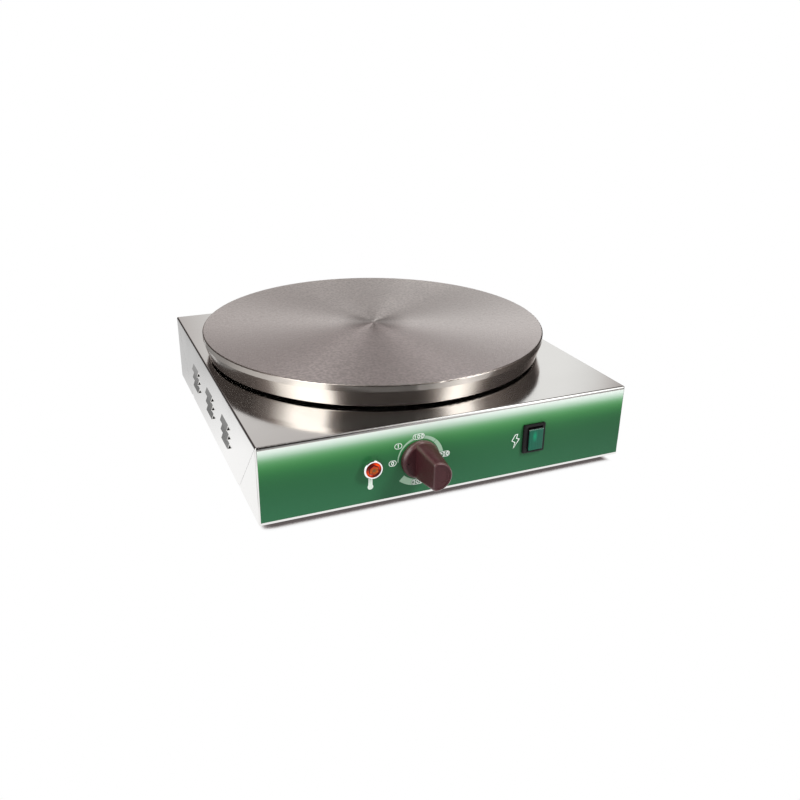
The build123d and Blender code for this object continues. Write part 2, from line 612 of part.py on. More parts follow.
with BuildPart() as capillary_grommet:
    with BuildSketch(upright_plane(*CAPILLARY_DOWN)):
        with BuildLine():
            Polyline((CAPILLARY_R + 0.2, TOP_Z + 1.2), (5.5, TOP_Z + 1.2), (5.5, TOP_Z),
                     (CAPILLARY_HOLE_R - GAP, TOP_Z), (CAPILLARY_HOLE_R - GAP, TOP_Z - SHEET),
                     (5.0, TOP_Z - SHEET), (4.4, TOP_Z - SHEET - 1.6),
                     (CAPILLARY_R + 0.2, TOP_Z - SHEET - 1.6), close=True)
        make_face()
    revolve(axis=Axis((*CAPILLARY_DOWN, 0), (0, 0, 1)))

CLIP_W, CLIP_T = 8.0, 0.8
CLIP_SPAN = 10.0                            # half the clip's width across the bulb

with BuildPart() as bulb_clips:
    for share in (0.25, 0.75):
        x, y = (r + (e - r) * share for r, e in zip(BULB_REAR, BULB_END))
        clip_plane = Plane(origin=(x, y, BULB_Z), x_dir=(-bulb_along[1], bulb_along[0], 0),
                           z_dir=(bulb_along[0], bulb_along[1], 0))
        inner_r = BULB_R + GAP
        with BuildSketch(clip_plane):
            Circle(inner_r + CLIP_T)
            Rectangle(2 * (inner_r + CLIP_T), BULB_R, align=(Align.CENTER, Align.MIN))
            with Locations((0, BULB_R)):
                Rectangle(2 * CLIP_SPAN, CLIP_T, align=(Align.CENTER, Align.MAX))
                Rectangle(2 * CLIP_SPAN, 2 * BULB_R, align=(Align.CENTER, Align.MIN),
                          mode=Mode.SUBTRACT)
            Circle(inner_r, mode=Mode.SUBTRACT)
            Rectangle(2 * inner_r, 2 * BULB_R, align=(Align.CENTER, Align.MIN),
                      mode=Mode.SUBTRACT)
        extrude(amount=CLIP_W / 2, both=True)

# ---- knob: round skirt, D-shaped grip ----------------------------------------------------------
SKIRT_R, SKIRT_BACK, SKIRT_EDGE = 20.2, 1.0, 4.5
MOON_R, MOON_REACH = 17.6, 8.0              # flat crescent between the skirt and the grip
GRIP_R_LOW, GRIP_R_HIGH = 19.3, 14.8        # level with the skirt's edge, and at the front
FLAT_LOW, FLAT_HIGH = 7.7, 4.3              # grip's flat side, left of the axis
GRIP_CORNER_R, GRIP_EDGE_R = 2.4, 1.7
MOON_LIP, MOON_DROP = 0.9, 0.6              # lip left round the crescent, and its height
FACE_RIM, FACE_DROP = 2.6, 0.5              # lip left round the grip's front face
OVAL_W, OVAL_H, OVAL_DROP = 8.8, 13.0, 0.4  # shallow oval in the middle of that face
DOT_X, DOT_R = -15.0, 0.8                   # pointer, left of the axis
KNOB_WALL = 2.4
HUB_R = 6.5
HUB_BACK = 2.6
CLIP_R = 4.2
SHAFT_OUT = 20.0                            # end of the shaft, in front of the steel
SHAFT_FLAT = 1.5                            # depth of the flat on the shaft

with BuildPart() as thermostat_shaft:
    with BuildSketch(front_plane(KNOB_X, -SHAFT_IN)):
        Circle(SHAFT_R)
    extrude(amount=SHAFT_IN + SHAFT_OUT)
    with BuildSketch(front_plane(KNOB_X, HUB_BACK)):
        with Locations((SHAFT_FLAT - SHAFT_R, 0)):
            Rectangle(SHAFT_R, 2 * SHAFT_R, align=(Align.MAX, Align.CENTER))
    extrude(amount=SHAFT_OUT - HUB_BACK, mode=Mode.SUBTRACT)

with BuildPart() as knob:
    grip_ends = ((SKIRT_EDGE, GRIP_R_LOW, FLAT_LOW), (KNOB_REACH, GRIP_R_HIGH, FLAT_HIGH))
    for reach, grip_r, flat in grip_ends:
        with BuildSketch(front_plane(KNOB_X, reach)) as grip_end:
            Circle(grip_r)
            with Locations((-flat, 0)):
                Rectangle(2 * grip_r, 2 * grip_r, align=(Align.MAX, Align.CENTER), mode=Mode.SUBTRACT)
            fillet(grip_end.vertices(), GRIP_CORNER_R)
    loft(ruled=True)
    fillet(knob.faces().sort_by(Axis.Y)[0].edges(), GRIP_EDGE_R)
    with BuildSketch(Plane(origin=(KNOB_X, FRONT_Y, CONTROL_Z), x_dir=(1, 0, 0), z_dir=(0, 0, 1))):
        with BuildLine():
            Polyline((0, -SKIRT_BACK), (SKIRT_R, -SKIRT_BACK), (SKIRT_R, -SKIRT_EDGE),
                     (MOON_R, -MOON_REACH), (0, -MOON_REACH), close=True)
        make_face()
    revolve(axis=Axis((KNOB_X, FRONT_Y, CONTROL_Z), (0, 1, 0)))
    skirt_rings = knob.edges().filter_by(GeomType.CIRCLE).filter_by(
        lambda e: abs(e.radius - SKIRT_R) < 0.01).sort_by(Axis.Y)
    fillet(skirt_rings[0], 2.0)
    # hollow behind: a ring recess in the skirt and the bore of the hub
    with BuildSketch(front_plane(KNOB_X, SKIRT_BACK)):
        Circle(SKIRT_R - KNOB_WALL)
        Circle(HUB_R, mode=Mode.SUBTRACT)
    extrude(amount=MOON_REACH - KNOB_WALL - SKIRT_BACK, mode=Mode.SUBTRACT)
    with BuildSketch(front_plane(KNOB_X, SKIRT_BACK)):
        Circle(HUB_R)
    extrude(amount=HUB_BACK - SKIRT_BACK, mode=Mode.SUBTRACT)
    with BuildSketch(front_plane(KNOB_X, HUB_BACK)):
        Circle(CLIP_R)
    extrude(amount=SHAFT_OUT + 1 - HUB_BACK, mode=Mode.SUBTRACT)
    # the crescent and the grip's front face are sunk inside thin lips
    with BuildSketch(front_plane(KNOB_X, MOON_REACH)):
        Circle(MOON_R - MOON_LIP)
        with Locations((-FLAT_LOW - MOON_LIP, 0)):
            Rectangle(2 * MOON_R, 2 * MOON_R, align=(Align.MIN, Align.CENTER), mode=Mode.SUBTRACT)
    extrude(amount=-MOON_DROP, mode=Mode.SUBTRACT)
    with BuildSketch(front_plane(KNOB_X, KNOB_REACH)) as face_inset:
        Circle(GRIP_R_HIGH - FACE_RIM)
        with Locations((FACE_RIM - FLAT_HIGH, 0)):
            Rectangle(2 * GRIP_R_HIGH, 2 * GRIP_R_HIGH, align=(Align.MAX, Align.CENTER),
                      mode=Mode.SUBTRACT)
        fillet(face_inset.vertices(), GRIP_CORNER_R - 1.0)
    extrude(amount=-FACE_DROP, mode=Mode.SUBTRACT)
    with BuildSketch(front_plane(KNOB_X + (GRIP_R_HIGH - FLAT_HIGH) / 2, KNOB_REACH - FACE_DROP)):
        SlotOverall(OVAL_H, OVAL_W, rotation=90)
    extrude(amount=-OVAL_DROP, mode=Mode.SUBTRACT)
    # pointer dot
    with BuildSketch(front_plane(KNOB_X + DOT_X, MOON_REACH - MOON_DROP)):
        Circle(DOT_R)
    extrude(amount=-DOT_R, mode=Mode.SUBTRACT)

with BuildPart() as knob_bush:
    with BuildSketch(front_plane(KNOB_X, HUB_BACK)):
        Circle(CLIP_R)
    extrude(amount=SHAFT_OUT - HUB_BACK)
    with BuildSketch(front_plane(KNOB_X, HUB_BACK)):
        Circle(SHAFT_R)
        with Locations((SHAFT_FLAT - SHAFT_R, 0)):
            Rectangle(SHAFT_R, 2 * SHAFT_R, align=(Align.MAX, Align.CENTER), mode=Mode.SUBTRACT)
    extrude(amount=SHAFT_OUT - HUB_BACK, mode=Mode.SUBTRACT)

# ---- pilot lamp --------------------------------------------------------------------------------
BEZEL_R, BEZEL_REACH = 9.7, 6.8
LENS_R, LENS_REACH = 7.6, 7.8
LAMP_THREAD_R = LAMP_HOLE_R - 0.2
LAMP_BACK = 22.0                            # inside the steel's outer face
LAMP_BORE_R = 3.6
LAMP_SEAT = FILM_T + 1.6                    # the lens and the body meet on the bezel's web
LAMP_NUT_AF, LAMP_NUT_H = 16.0, 3.0
NEON_R, NEON_IN = 2.8, 15.0

with BuildPart() as lamp_bezel:
    with BuildSketch(Plane(origin=(LAMP_X, FRONT_Y, CONTROL_Z), x_dir=(1, 0, 0), z_dir=(0, 0, 1))):
        with BuildLine():
            Polyline((LAMP_THREAD_R + GAP, -FILM_T), (BEZEL_R, -FILM_T), (BEZEL_R, 0.5 - BEZEL_REACH),
                     (BEZEL_R - 0.5, -BEZEL_REACH), (LENS_R + 0.4, -BEZEL_REACH),
                     (LENS_R + GAP, 0.6 - BEZEL_REACH), (LENS_R + GAP, -LAMP_SEAT),
                     (LAMP_THREAD_R + GAP, -LAMP_SEAT), close=True)
        make_face()
    revolve(axis=Axis((LAMP_X, FRONT_Y, CONTROL_Z), (0, 1, 0)))

LENS_BACK = LAMP_SEAT + GAP
FACET_R, FACETS, FACET_TURN = 5.2, 6, 33

with BuildPart() as lamp_lens:
    with BuildSketch(front_plane(LAMP_X, LENS_BACK)):
        Circle(LENS_R)
    extrude(amount=BEZEL_REACH - 1.0 - LENS_BACK)
    with BuildSketch(front_plane(LAMP_X, BEZEL_REACH - 1.0)):
        RegularPolygon(LENS_R, FACETS, rotation=FACET_TURN)
    with BuildSketch(front_plane(LAMP_X, LENS_REACH)):
        RegularPolygon(FACET_R, FACETS, rotation=FACET_TURN)
    loft(ruled=True)

with BuildPart() as lamp_body:
    with BuildSketch(front_plane(LAMP_X, LAMP_SEAT)):
        Circle(LAMP_THREAD_R)
        Circle(LAMP_BORE_R, mode=Mode.SUBTRACT)
    extrude(amount=-(LAMP_SEAT + LAMP_BACK))
    with BuildSketch(front_plane(LAMP_X, -LAMP_BACK)):
        Circle(LAMP_THREAD_R)
    extrude(amount=-2.0)

with BuildPart() as neon_tube:
    with BuildSketch(front_plane(LAMP_X, FILM_T)):
        Circle(NEON_R)
    extrude(amount=-(FILM_T + NEON_IN))

with BuildPart() as lamp_nut:
    with BuildSketch(front_plane(LAMP_X, -SHEET)):
        RegularPolygon(LAMP_NUT_AF / 2, 6, major_radius=False)
        Circle(LAMP_THREAD_R + GAP, mode=Mode.SUBTRACT)
    extrude(amount=-LAMP_NUT_H)

LAMP_TAB_W, LAMP_TAB_T, LAMP_TAB_L = 2.8, 0.6, 5.0
LAMP_TABS = [(LAMP_X + dx, FRONT_Y + LAMP_BACK + 2.0, CONTROL_Z) for dx in (-2.6, 2.6)]

with BuildPart() as lamp_tabs:
    for x, y, z in LAMP_TABS:
        with BuildSketch(Plane(origin=(x, y, z), x_dir=(0, 0, 1), z_dir=(0, 1, 0))):
            Rectangle(LAMP_TAB_W, LAMP_TAB_T)
        extrude(amount=LAMP_TAB_L)

# ---- rocker switch -----------------------------------------------------------------------------
FRAME_W, FRAME_H, FRAME_REACH = 25.6, 32.0, 3.9
SOCKET_W, SOCKET_H = 17.4, 27.4
SOCKET_FLOOR = -8.0                         # reach of the socket's floor
SWITCH_BACK = 24.0
PIVOT_REACH = -1.0
PIVOT_R = 1.5
ROCKER_W, ROCKER_H = 16.4, 23.2
ROCKER_ROOT, ROCKER_REACH = -3.2, 6.8       # its face is parallel to the panel when it is off
WINDOW_T, WINDOW_EDGE_R = 1.2, 0.4          # green window that covers the rocker's face
PEG_W, PEG_H, PEG_T = 8.0, 14.0, 1.5        # the window's back sits in a pocket of the rocker

with BuildPart() as switch_housing:
    with BuildSketch(front_plane(SWITCH_X, FILM_T)):
        RectangleRounded(FRAME_W, FRAME_H, 1.2)
    extrude(amount=FRAME_REACH - FILM_T)
    chamfer(switch_housing.faces().sort_by(Axis.Y)[0].edges(), 1.2)
    with BuildSketch(front_plane(SWITCH_X, FILM_T)):
        Rectangle(SWITCH_HOLE_W - 0.4, SWITCH_HOLE_H - 0.4)
    extrude(amount=-(FILM_T + SWITCH_BACK))
    with BuildSketch(front_plane(SWITCH_X, FRAME_REACH)):
        Rectangle(SOCKET_W, SOCKET_H)
    extrude(amount=-(FRAME_REACH - SOCKET_FLOOR), mode=Mode.SUBTRACT)
    pivot_plane = Plane(origin=(SWITCH_X, FRONT_Y - PIVOT_REACH, CONTROL_Z), x_dir=(0, 1, 0),
                        z_dir=(1, 0, 0))
    with BuildSketch(pivot_plane):
        Circle(PIVOT_R + SHAFT_CLEAR)
    extrude(amount=SOCKET_W / 2 + 1.0, both=True, mode=Mode.SUBTRACT)

with BuildPart() as switch_rocker:
    with BuildSketch(front_plane(SWITCH_X, ROCKER_ROOT)):
        Rectangle(ROCKER_W, ROCKER_H)
    extrude(amount=ROCKER_REACH - WINDOW_T - GAP - ROCKER_ROOT)
    fillet(switch_rocker.edges().filter_by(Axis.X).group_by(Axis.Y)[-1], 1.5)
    with BuildSketch(pivot_plane):
        Circle(PIVOT_R)
    extrude(amount=SOCKET_W / 2 + 0.8, both=True)
    with BuildSketch(front_plane(SWITCH_X, ROCKER_REACH - WINDOW_T)):
        Rectangle(PEG_W + 2 * GAP, PEG_H + 2 * GAP)
    extrude(amount=-(PEG_T + GAP), mode=Mode.SUBTRACT)

with BuildPart() as rocker_window:
    with BuildSketch(front_plane(SWITCH_X, ROCKER_REACH - WINDOW_T)):
        Rectangle(ROCKER_W, ROCKER_H)
    extrude(amount=WINDOW_T)
    fillet(rocker_window.faces().sort_by(Axis.Y)[0].edges(), WINDOW_EDGE_R)
    with BuildSketch(front_plane(SWITCH_X, ROCKER_REACH - WINDOW_T)):
        Rectangle(PEG_W, PEG_H)
    extrude(amount=-PEG_T)

SWITCH_TABS = [(SWITCH_X + dx, FRONT_Y + SWITCH_BACK, CONTROL_Z + dz)
               for dx in (-5.0, 5.0) for dz in (-7.0, 7.0)]

with BuildPart() as switch_tabs:
    for x, y, z in SWITCH_TABS:
        with BuildSketch(Plane(origin=(x, y, z), x_dir=(1, 0, 0), z_dir=(0, 1, 0))):
            Rectangle(TAB_W, TAB_T)
        extrude(amount=TAB_L)

# ---- cable entry in the rear panel -------------------------------------------------------------
GLAND_BORE_R = 4.0                          # rubber seal, slack
SEAL_SEAT_R = 6.0
GLAND_AF = 24.0
GLAND_HEX_H = 5.0
GLAND_STEM = 12.0                           # end of the body's thread, outside the panel
GLAND_IN = 9.0
NUT_FLATS_END = 16.0                        # where the nut's six flats give way to its dome
LOCKNUT_AF, LOCKNUT_H = 26.0, 5.0
SEAL_START, SEAL_L = 1.0, 16.0

with BuildPart() as cable_gland:
    with BuildSketch(rear_plane(GLAND_X, z=GLAND_Z)):
        RegularPolygon(GLAND_AF / 2, 6, major_radius=False)
    extrude(amount=GLAND_HEX_H)
    with BuildSketch(rear_plane(GLAND_X, z=GLAND_Z)):
        Circle(GLAND_THREAD_R - 1.0)
    extrude(amount=GLAND_STEM)
    with BuildSketch(rear_plane(GLAND_X, z=GLAND_Z)):
        Circle(GLAND_THREAD_R)
    extrude(amount=-GLAND_IN)
    with BuildSketch(rear_plane(GLAND_X, GLAND_STEM, GLAND_Z)):
        Circle(SEAL_SEAT_R)
    extrude(amount=-GLAND_STEM - GLAND_IN, mode=Mode.SUBTRACT)

with BuildPart() as gland_nut:
    with BuildSketch(rear_plane(GLAND_X, GLAND_HEX_H + GAP, GLAND_Z)):
        RegularPolygon(GLAND_AF / 2, 6, major_radius=False)
    extrude(amount=NUT_FLATS_END - GLAND_HEX_H - GAP)
    with BuildSketch(rear_plane(GLAND_X, NUT_FLATS_END, GLAND_Z)):
        Circle(GLAND_AF / 2 - 0.6)
    extrude(amount=GLAND_REACH - NUT_FLATS_END)
    fillet(gland_nut.faces().sort_by(Axis.Y)[-1].edges(), 5.0)
    with BuildSketch(rear_plane(GLAND_X, GLAND_HEX_H, GLAND_Z)):
        Circle(GLAND_THREAD_R - 1.0 + GAP)
    extrude(amount=GLAND_STEM, mode=Mode.SUBTRACT)
    with BuildSketch(rear_plane(GLAND_X, GLAND_HEX_H, GLAND_Z)):
        Circle(GLAND_BORE_R + 0.5)
    extrude(amount=GLAND_REACH, mode=Mode.SUBTRACT)

with BuildPart() as gland_seal:
    with BuildSketch(rear_plane(GLAND_X, SEAL_START, GLAND_Z)):
        Circle(SEAL_SEAT_R - GAP)
        Circle(GLAND_BORE_R, mode=Mode.SUBTRACT)
    extrude(amount=SEAL_L)

with BuildPart() as gland_locknut:
    with BuildSketch(rear_plane(GLAND_X, -SHEET, GLAND_Z)):
        RegularPolygon(LOCKNUT_AF / 2, 6, major_radius=False)
        Circle(GLAND_THREAD_R + GAP, mode=Mode.SUBTRACT)
    extrude(amount=-LOCKNUT_H)

# ---- terminal block and earth point on the bottom plate ----------------------------------------
BLOCK_W, BLOCK_D, BLOCK_H = 42.0, 20.0, 16.0
BLOCK_X, BLOCK_Y = GLAND_X, REAR_Y - 45.0
WAY_R, WAY_UP, WAY_PITCH = 2.2, 6.0, 13.0
WAY_XS = [BLOCK_X + i * WAY_PITCH for i in (-1, 0, 1)]
WAYS = [(x, BLOCK_Y - BLOCK_D / 2, BASE_Z + WAY_UP) for x in WAY_XS]
CLAMP_SCREW_R, CLAMP_SCREW_L = 1.95, 6.0
EARTH_L, EARTH_NUT_UP = 14.0, 4.0

with BuildPart() as terminal_block:
    with BuildSketch(Plane(origin=(BLOCK_X, BLOCK_Y, BASE_Z))):
        RectangleRounded(BLOCK_W, BLOCK_D, 2)
    extrude(amount=BLOCK_H)
    for x in WAY_XS:
        with BuildSketch(Plane(origin=(x, BLOCK_Y, BASE_Z + WAY_UP), z_dir=(0, 1, 0))):
            Circle(WAY_R)
        extrude(amount=BLOCK_D, both=True, mode=Mode.SUBTRACT)
        with BuildSketch(Plane(origin=(x, BLOCK_Y, BASE_Z + BLOCK_H))):
            Circle(CLAMP_SCREW_R + GAP)
        extrude(amount=WAY_UP - BLOCK_H, mode=Mode.SUBTRACT)

with BuildPart() as terminal_screws:
    with BuildSketch(Plane.XY.offset(BASE_Z + WAY_UP + WAY_R + GAP)):
        with Locations(*[(x, BLOCK_Y) for x in WAY_XS]):
            Circle(CLAMP_SCREW_R)
    extrude(amount=CLAMP_SCREW_L)

with BuildPart() as earth_stud:
    with BuildSketch(Plane(origin=(EARTH_X, EARTH_Y, FOOT_H))):
        Circle(EARTH_R)
    extrude(amount=EARTH_L)

with BuildPart() as earth_nut:
    hex_nuts([(EARTH_X, EARTH_Y)], BASE_Z + EARTH_NUT_UP, M5_AF, M5_H, EARTH_R + GAP)

# ---- internal wires, held at both ends ---------------------------------------------------------
WIRE_R = 1.4
WIRE_BEND = 30.0
WIRE_Z = BASE_Z + 12.0


def tab_end(tab):
    """Where a wire meets a tab: at its tip."""
    x, y, z = tab
    return x, y + TAB_L + GAP, z


def pin_end(lead):
    """Where a wire meets a pin of the heating element."""
    return (*lead, LEAD_LOW_Z - PIN_L - GAP)


live_way, neutral_way, earth_way = WAYS
live_in, live_out, neutral_in, neutral_out = (tab_end(SWITCH_TABS[i]) for i in (1, 0, 3, 2))
stat_out, stat_in = (tab_end(tab) for tab in STAT_TABS)
outer_pin, inner_pin = (pin_end(lead) for lead in LEADS)


def ahead(point, dx=0.0, dy=0.0, dz=0.0):
    """A point of a route, counted from one of its ends."""
    return point[0] + dx, point[1] + dy, point[2] + dz


def from_block(way, side_step, tab):
    """Route from a way of the terminal block along the bottom to a tab of the switch."""
    return [ahead(way, dy=-GAP), ahead(way, dy=-24), (way[0] + side_step, way[1] - 120, WIRE_Z),
            (tab[0] + side_step, tab[1] + 110, WIRE_Z), ahead(tab, side_step / 2, 50, -10),
            ahead(tab, dy=20), tab]


with BuildPart() as wires_brown:
    tube(from_block(live_way, -14, live_in), WIRE_R, WIRE_BEND)
    tube([live_out, ahead(live_out, dy=18), ahead(live_out, -26, 40, -8), ahead(stat_in, 34, 34, -4),
          ahead(stat_in, dy=18), stat_in], WIRE_R, WIRE_BEND)
    tube([stat_out, ahead(stat_out, dy=22), ahead(stat_out, 16, 70, -20),
          ahead(inner_pin, -34, -44, -34), ahead(inner_pin, -4, -8, -34), ahead(inner_pin, dz=-18),
          inner_pin], WIRE_R, WIRE_BEND)

with BuildPart() as wires_blue:
    tube(from_block(neutral_way, 8, neutral_in), WIRE_R, WIRE_BEND)
    tube([neutral_out, ahead(neutral_out, dy=20), ahead(neutral_out, 34, 70, -16),
          ahead(outer_pin, -6, -60, -34), ahead(outer_pin, -2, -10, -32), ahead(outer_pin, dz=-18),
          outer_pin], WIRE_R, WIRE_BEND)

THIN_R = WIRE_R / 2
BESIDE = -(TAB_W / 2 - THIN_R - GAP)        # a thin wire joins a tab beside the thick one
THIN_Z = BASE_Z + 2.0                       # thin wire along the bottom, to the switch

lamp_neutral, lamp_live = (ahead(tab, dy=LAMP_TAB_L + GAP) for tab in LAMP_TABS)
live_end, neutral_end = ahead(stat_out, BESIDE), ahead(neutral_out, BESIDE)
drop = THIN_Z - CONTROL_Z

with BuildPart() as wires_lamp:
    tube([lamp_live, ahead(lamp_live, dy=16), ahead(lamp_live, 11, 31, -3), ahead(live_end, -6, 23),
          ahead(live_end, dy=15), live_end], THIN_R, WIRE_BEND)
    tube([lamp_neutral, ahead(lamp_neutral, dy=14), ahead(lamp_neutral, 3, 22, drop),
          (neutral_end[0] - 6, neutral_end[1] + 20, THIN_Z), ahead(neutral_end, dy=16),
          neutral_end], THIN_R, WIRE_BEND)

with BuildPart() as wire_earth:
    ring_end = (EARTH_X, EARTH_Y, BASE_Z + WIRE_R + GAP)
    tube([ahead(earth_way, dy=-GAP), ahead(earth_way, dy=-18), ahead(earth_way, 14, -34),
          ahead(ring_end, -22, 6), ahead(ring_end, -6)], WIRE_R, WIRE_BEND)

# ---- write one file for each piece -------------------------------------------------------------
PIECES = {
    "body_shell": body_shell, "seam_straps": seam_straps, "front_overlay": front_overlay,
    "bottom_plate": bottom_plate, "bottom_screws": bottom_screws, "rubber_feet": rubber_feet,
    "foot_bolts": foot_bolts, "foot_nuts": foot_nuts, "griddle_plate": griddle_plate,
    "heating_element": heating_element, "element_pins": element_pins, "lead_bushes": lead_bushes,
    "clamp_bars": clamp_bars, "clamp_studs": clamp_studs, "clamp_nuts": clamp_nuts,
    "insulation_mat": insulation_mat, "heat_shield": heat_shield, "shield_nuts": shield_nuts,
    "support_rails": support_rails, "plate_posts": plate_posts, "post_spacers": post_spacers,
    "post_washers": post_washers, "post_nuts": post_nuts, "thermostat_body": thermostat_body,
    "thermostat_screws": thermostat_screws, "thermostat_tabs": thermostat_tabs,
    "thermostat_shaft": thermostat_shaft, "sensing_bulb": sensing_bulb, "bulb_clips": bulb_clips,
    "capillary_tube": capillary_tube, "capillary_grommet": capillary_grommet,
    "knob": knob, "knob_bush": knob_bush, "lamp_bezel": lamp_bezel, "lamp_lens": lamp_lens,
    "lamp_body": lamp_body, "neon_tube": neon_tube, "lamp_nut": lamp_nut, "lamp_tabs": lamp_tabs,
    "switch_housing": switch_housing, "switch_rocker": switch_rocker,
    "rocker_window": rocker_window, "switch_tabs": switch_tabs,
    "cable_gland": cable_gland, "gland_nut": gland_nut, "gland_seal": gland_seal,
    "gland_locknut": gland_locknut, "terminal_block": terminal_block,
    "terminal_screws": terminal_screws, "earth_stud": earth_stud, "earth_nut": earth_nut,
    "wires_brown": wires_brown, "wires_blue": wires_blue, "wires_lamp": wires_lamp,
    "wire_earth": wire_earth,
}

os.makedirs("parts", exist_ok=True)
for name, piece in PIECES.items():
    piece.part.label = name
    export_step(piece.part, f"parts/{name}.step")
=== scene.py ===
"""Electric crepe maker: materials, printed graphics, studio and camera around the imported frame."""
import json
import math

import bmesh
import bpy
from mathutils import Matrix, Vector

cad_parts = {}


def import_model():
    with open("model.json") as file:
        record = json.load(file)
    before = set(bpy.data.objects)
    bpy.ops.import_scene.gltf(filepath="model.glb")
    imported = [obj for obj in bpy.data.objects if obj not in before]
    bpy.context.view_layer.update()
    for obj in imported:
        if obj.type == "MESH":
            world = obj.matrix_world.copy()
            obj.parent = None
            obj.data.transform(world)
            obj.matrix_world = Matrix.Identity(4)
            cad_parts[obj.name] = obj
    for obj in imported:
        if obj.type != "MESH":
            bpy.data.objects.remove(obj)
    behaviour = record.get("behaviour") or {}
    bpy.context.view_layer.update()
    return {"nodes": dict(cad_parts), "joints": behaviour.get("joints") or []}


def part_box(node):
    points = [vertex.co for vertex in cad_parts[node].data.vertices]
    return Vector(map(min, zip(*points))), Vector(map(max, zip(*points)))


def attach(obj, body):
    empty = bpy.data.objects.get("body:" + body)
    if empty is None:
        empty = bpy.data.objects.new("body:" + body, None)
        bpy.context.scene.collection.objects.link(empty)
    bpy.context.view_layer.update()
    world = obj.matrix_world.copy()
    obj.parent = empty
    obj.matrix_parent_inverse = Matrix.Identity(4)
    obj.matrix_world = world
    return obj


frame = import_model()

MM = 0.001


def middle(node):
    """Middle of a node's box at rest."""
    low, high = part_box(node)
    return (low + high) / 2


# ---- places, from the frame --------------------------------------------------------------------
joint_at = {joint["name"]: joint["pos_m"] for joint in frame["joints"]}

BASE_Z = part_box("body_shell")[0].z          # lower edge of the box
FRONT_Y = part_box("body_shell")[0].y         # steel of the front panel
BOX_Y = middle("body_shell").y
BOX_HALF_W = 202.5 * MM                     # without the hoods of the louvres
BOX_HALF_D = BOX_Y - FRONT_Y
PLATE_Y = middle("griddle_plate").y         # griddle's axis
PLATE_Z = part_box("griddle_plate")[1].z      # its top
PRINT_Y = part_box("front_overlay")[0].y      # outer face of the printed film
FILM_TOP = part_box("front_overlay")[1].z
KNOB_X, _, CONTROL_Z = joint_at["knob_turn"]
KNOB_REACH = FRONT_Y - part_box("knob")[0].y  # out of the front panel's steel
LAMP_X = middle("lamp_bezel").x
SWITCH_X = joint_at["rocker_tilt"][0]

# ---- camera ------------------------------------------------------------------------------------
CAMERA_AT = (-0.3521, -0.8643, 0.4277)
CAMERA_RIGHT = (0.9192, -0.3936, 0.0138)
CAMERA_FORWARD = (0.3662, 0.8413, -0.3975)
LENS, SENSOR = 37.777, 36.0


def make_camera():
    data = bpy.data.cameras.new("camera")
    data.lens, data.sensor_width = LENS, SENSOR
    data.clip_start, data.clip_end = 0.02, 30
    camera = bpy.data.objects.new("camera", data)
    bpy.context.scene.collection.objects.link(camera)
    right = Vector(CAMERA_RIGHT).normalized()
    forward = Vector(CAMERA_FORWARD)
    forward = (forward - forward.dot(right) * right).normalized()
    axes = Matrix((right, right.cross(forward), -forward)).transposed()
    camera.matrix_world = Matrix.Translation(CAMERA_AT) @ axes.to_4x4()
    bpy.context.scene.camera = camera


make_camera()


# ---- node helpers ------------------------------------------------------------------------------
def linear(red, green, blue):
    """A colour given as 0 to 255 on screen, as the shader wants it."""
    def one(v):
        v /= 255
        return v / 12.92 if v <= 0.04045 else ((v + 0.055) / 1.055) ** 2.4
    return one(red), one(green), one(blue), 1.0


class Nodes:
    """Short calls for the nodes of one tree. A value is a number or the output of another node."""

    def __init__(self, tree):
        self.tree = tree

    def new(self, kind, **props):
        node = self.tree.nodes.new("ShaderNode" + kind)
        for key, value in props.items():
            setattr(node, key, value)
        return node

    def put(self, socket, value):
        if isinstance(value, bpy.types.NodeSocket):
            self.tree.links.new(value, socket)
        else:
            socket.default_value = value

    def math(self, operation, a, b=0.0, clamp=False):
        node = self.new("Math", operation=operation, use_clamp=clamp)
        self.put(node.inputs[0], a)
        self.put(node.inputs[1], b)
        return node.outputs[0]

    def plus(self, a, b):
        return self.math("ADD", a, b)

    def minus(self, a, b):
        return self.math("SUBTRACT", a, b)

    def times(self, a, b):
        return self.math("MULTIPLY", a, b)

    def most(self, a, b):
        return self.math("MAXIMUM", a, b)

    def length(self, a, b):
        """Length of the vector with these two parts."""
        return self.math("SQRT", self.plus(self.times(a, a), self.times(b, b)))

    def split(self, vector):
        node = self.new("SeparateXYZ")
        self.put(node.inputs[0], vector)
        return node.outputs

    def join(self, x, y, z):
        node = self.new("CombineXYZ")
        for socket, value in zip(node.inputs, (x, y, z)):
            self.put(socket, value)
        return node.outputs[0]

    def grey(self, value):
        return self.join(value, value, value)

    def span(self, value, low, high, to_low=0.0, to_high=1.0, smooth=False):
        """The value carried over from the first span to the second, and held at its ends."""
        node = self.new("MapRange", interpolation_type="SMOOTHSTEP" if smooth else "LINEAR")
        for socket, item in zip(node.inputs, (value, low, high, to_low, to_high)):
            self.put(socket, item)
        return node.outputs[0]

    def ramp(self, value, stops, kind="LINEAR"):
        node = self.new("ValToRGB")
        self.put(node.inputs[0], value)
        band = node.color_ramp
        band.interpolation = kind
        while len(band.elements) < len(stops):
            band.elements.new(0.5)
        for element, (place, colour) in zip(band.elements, stops):
            element.position, element.color = place, colour
        return node.outputs[0]

    def mix_shaders(self, share, first, second):
        node = self.new("MixShader")
        self.put(node.inputs[0], share)
        self.put(node.inputs[1], first.outputs[0])
        self.put(node.inputs[2], second.outputs[0])
        return node.outputs[0]


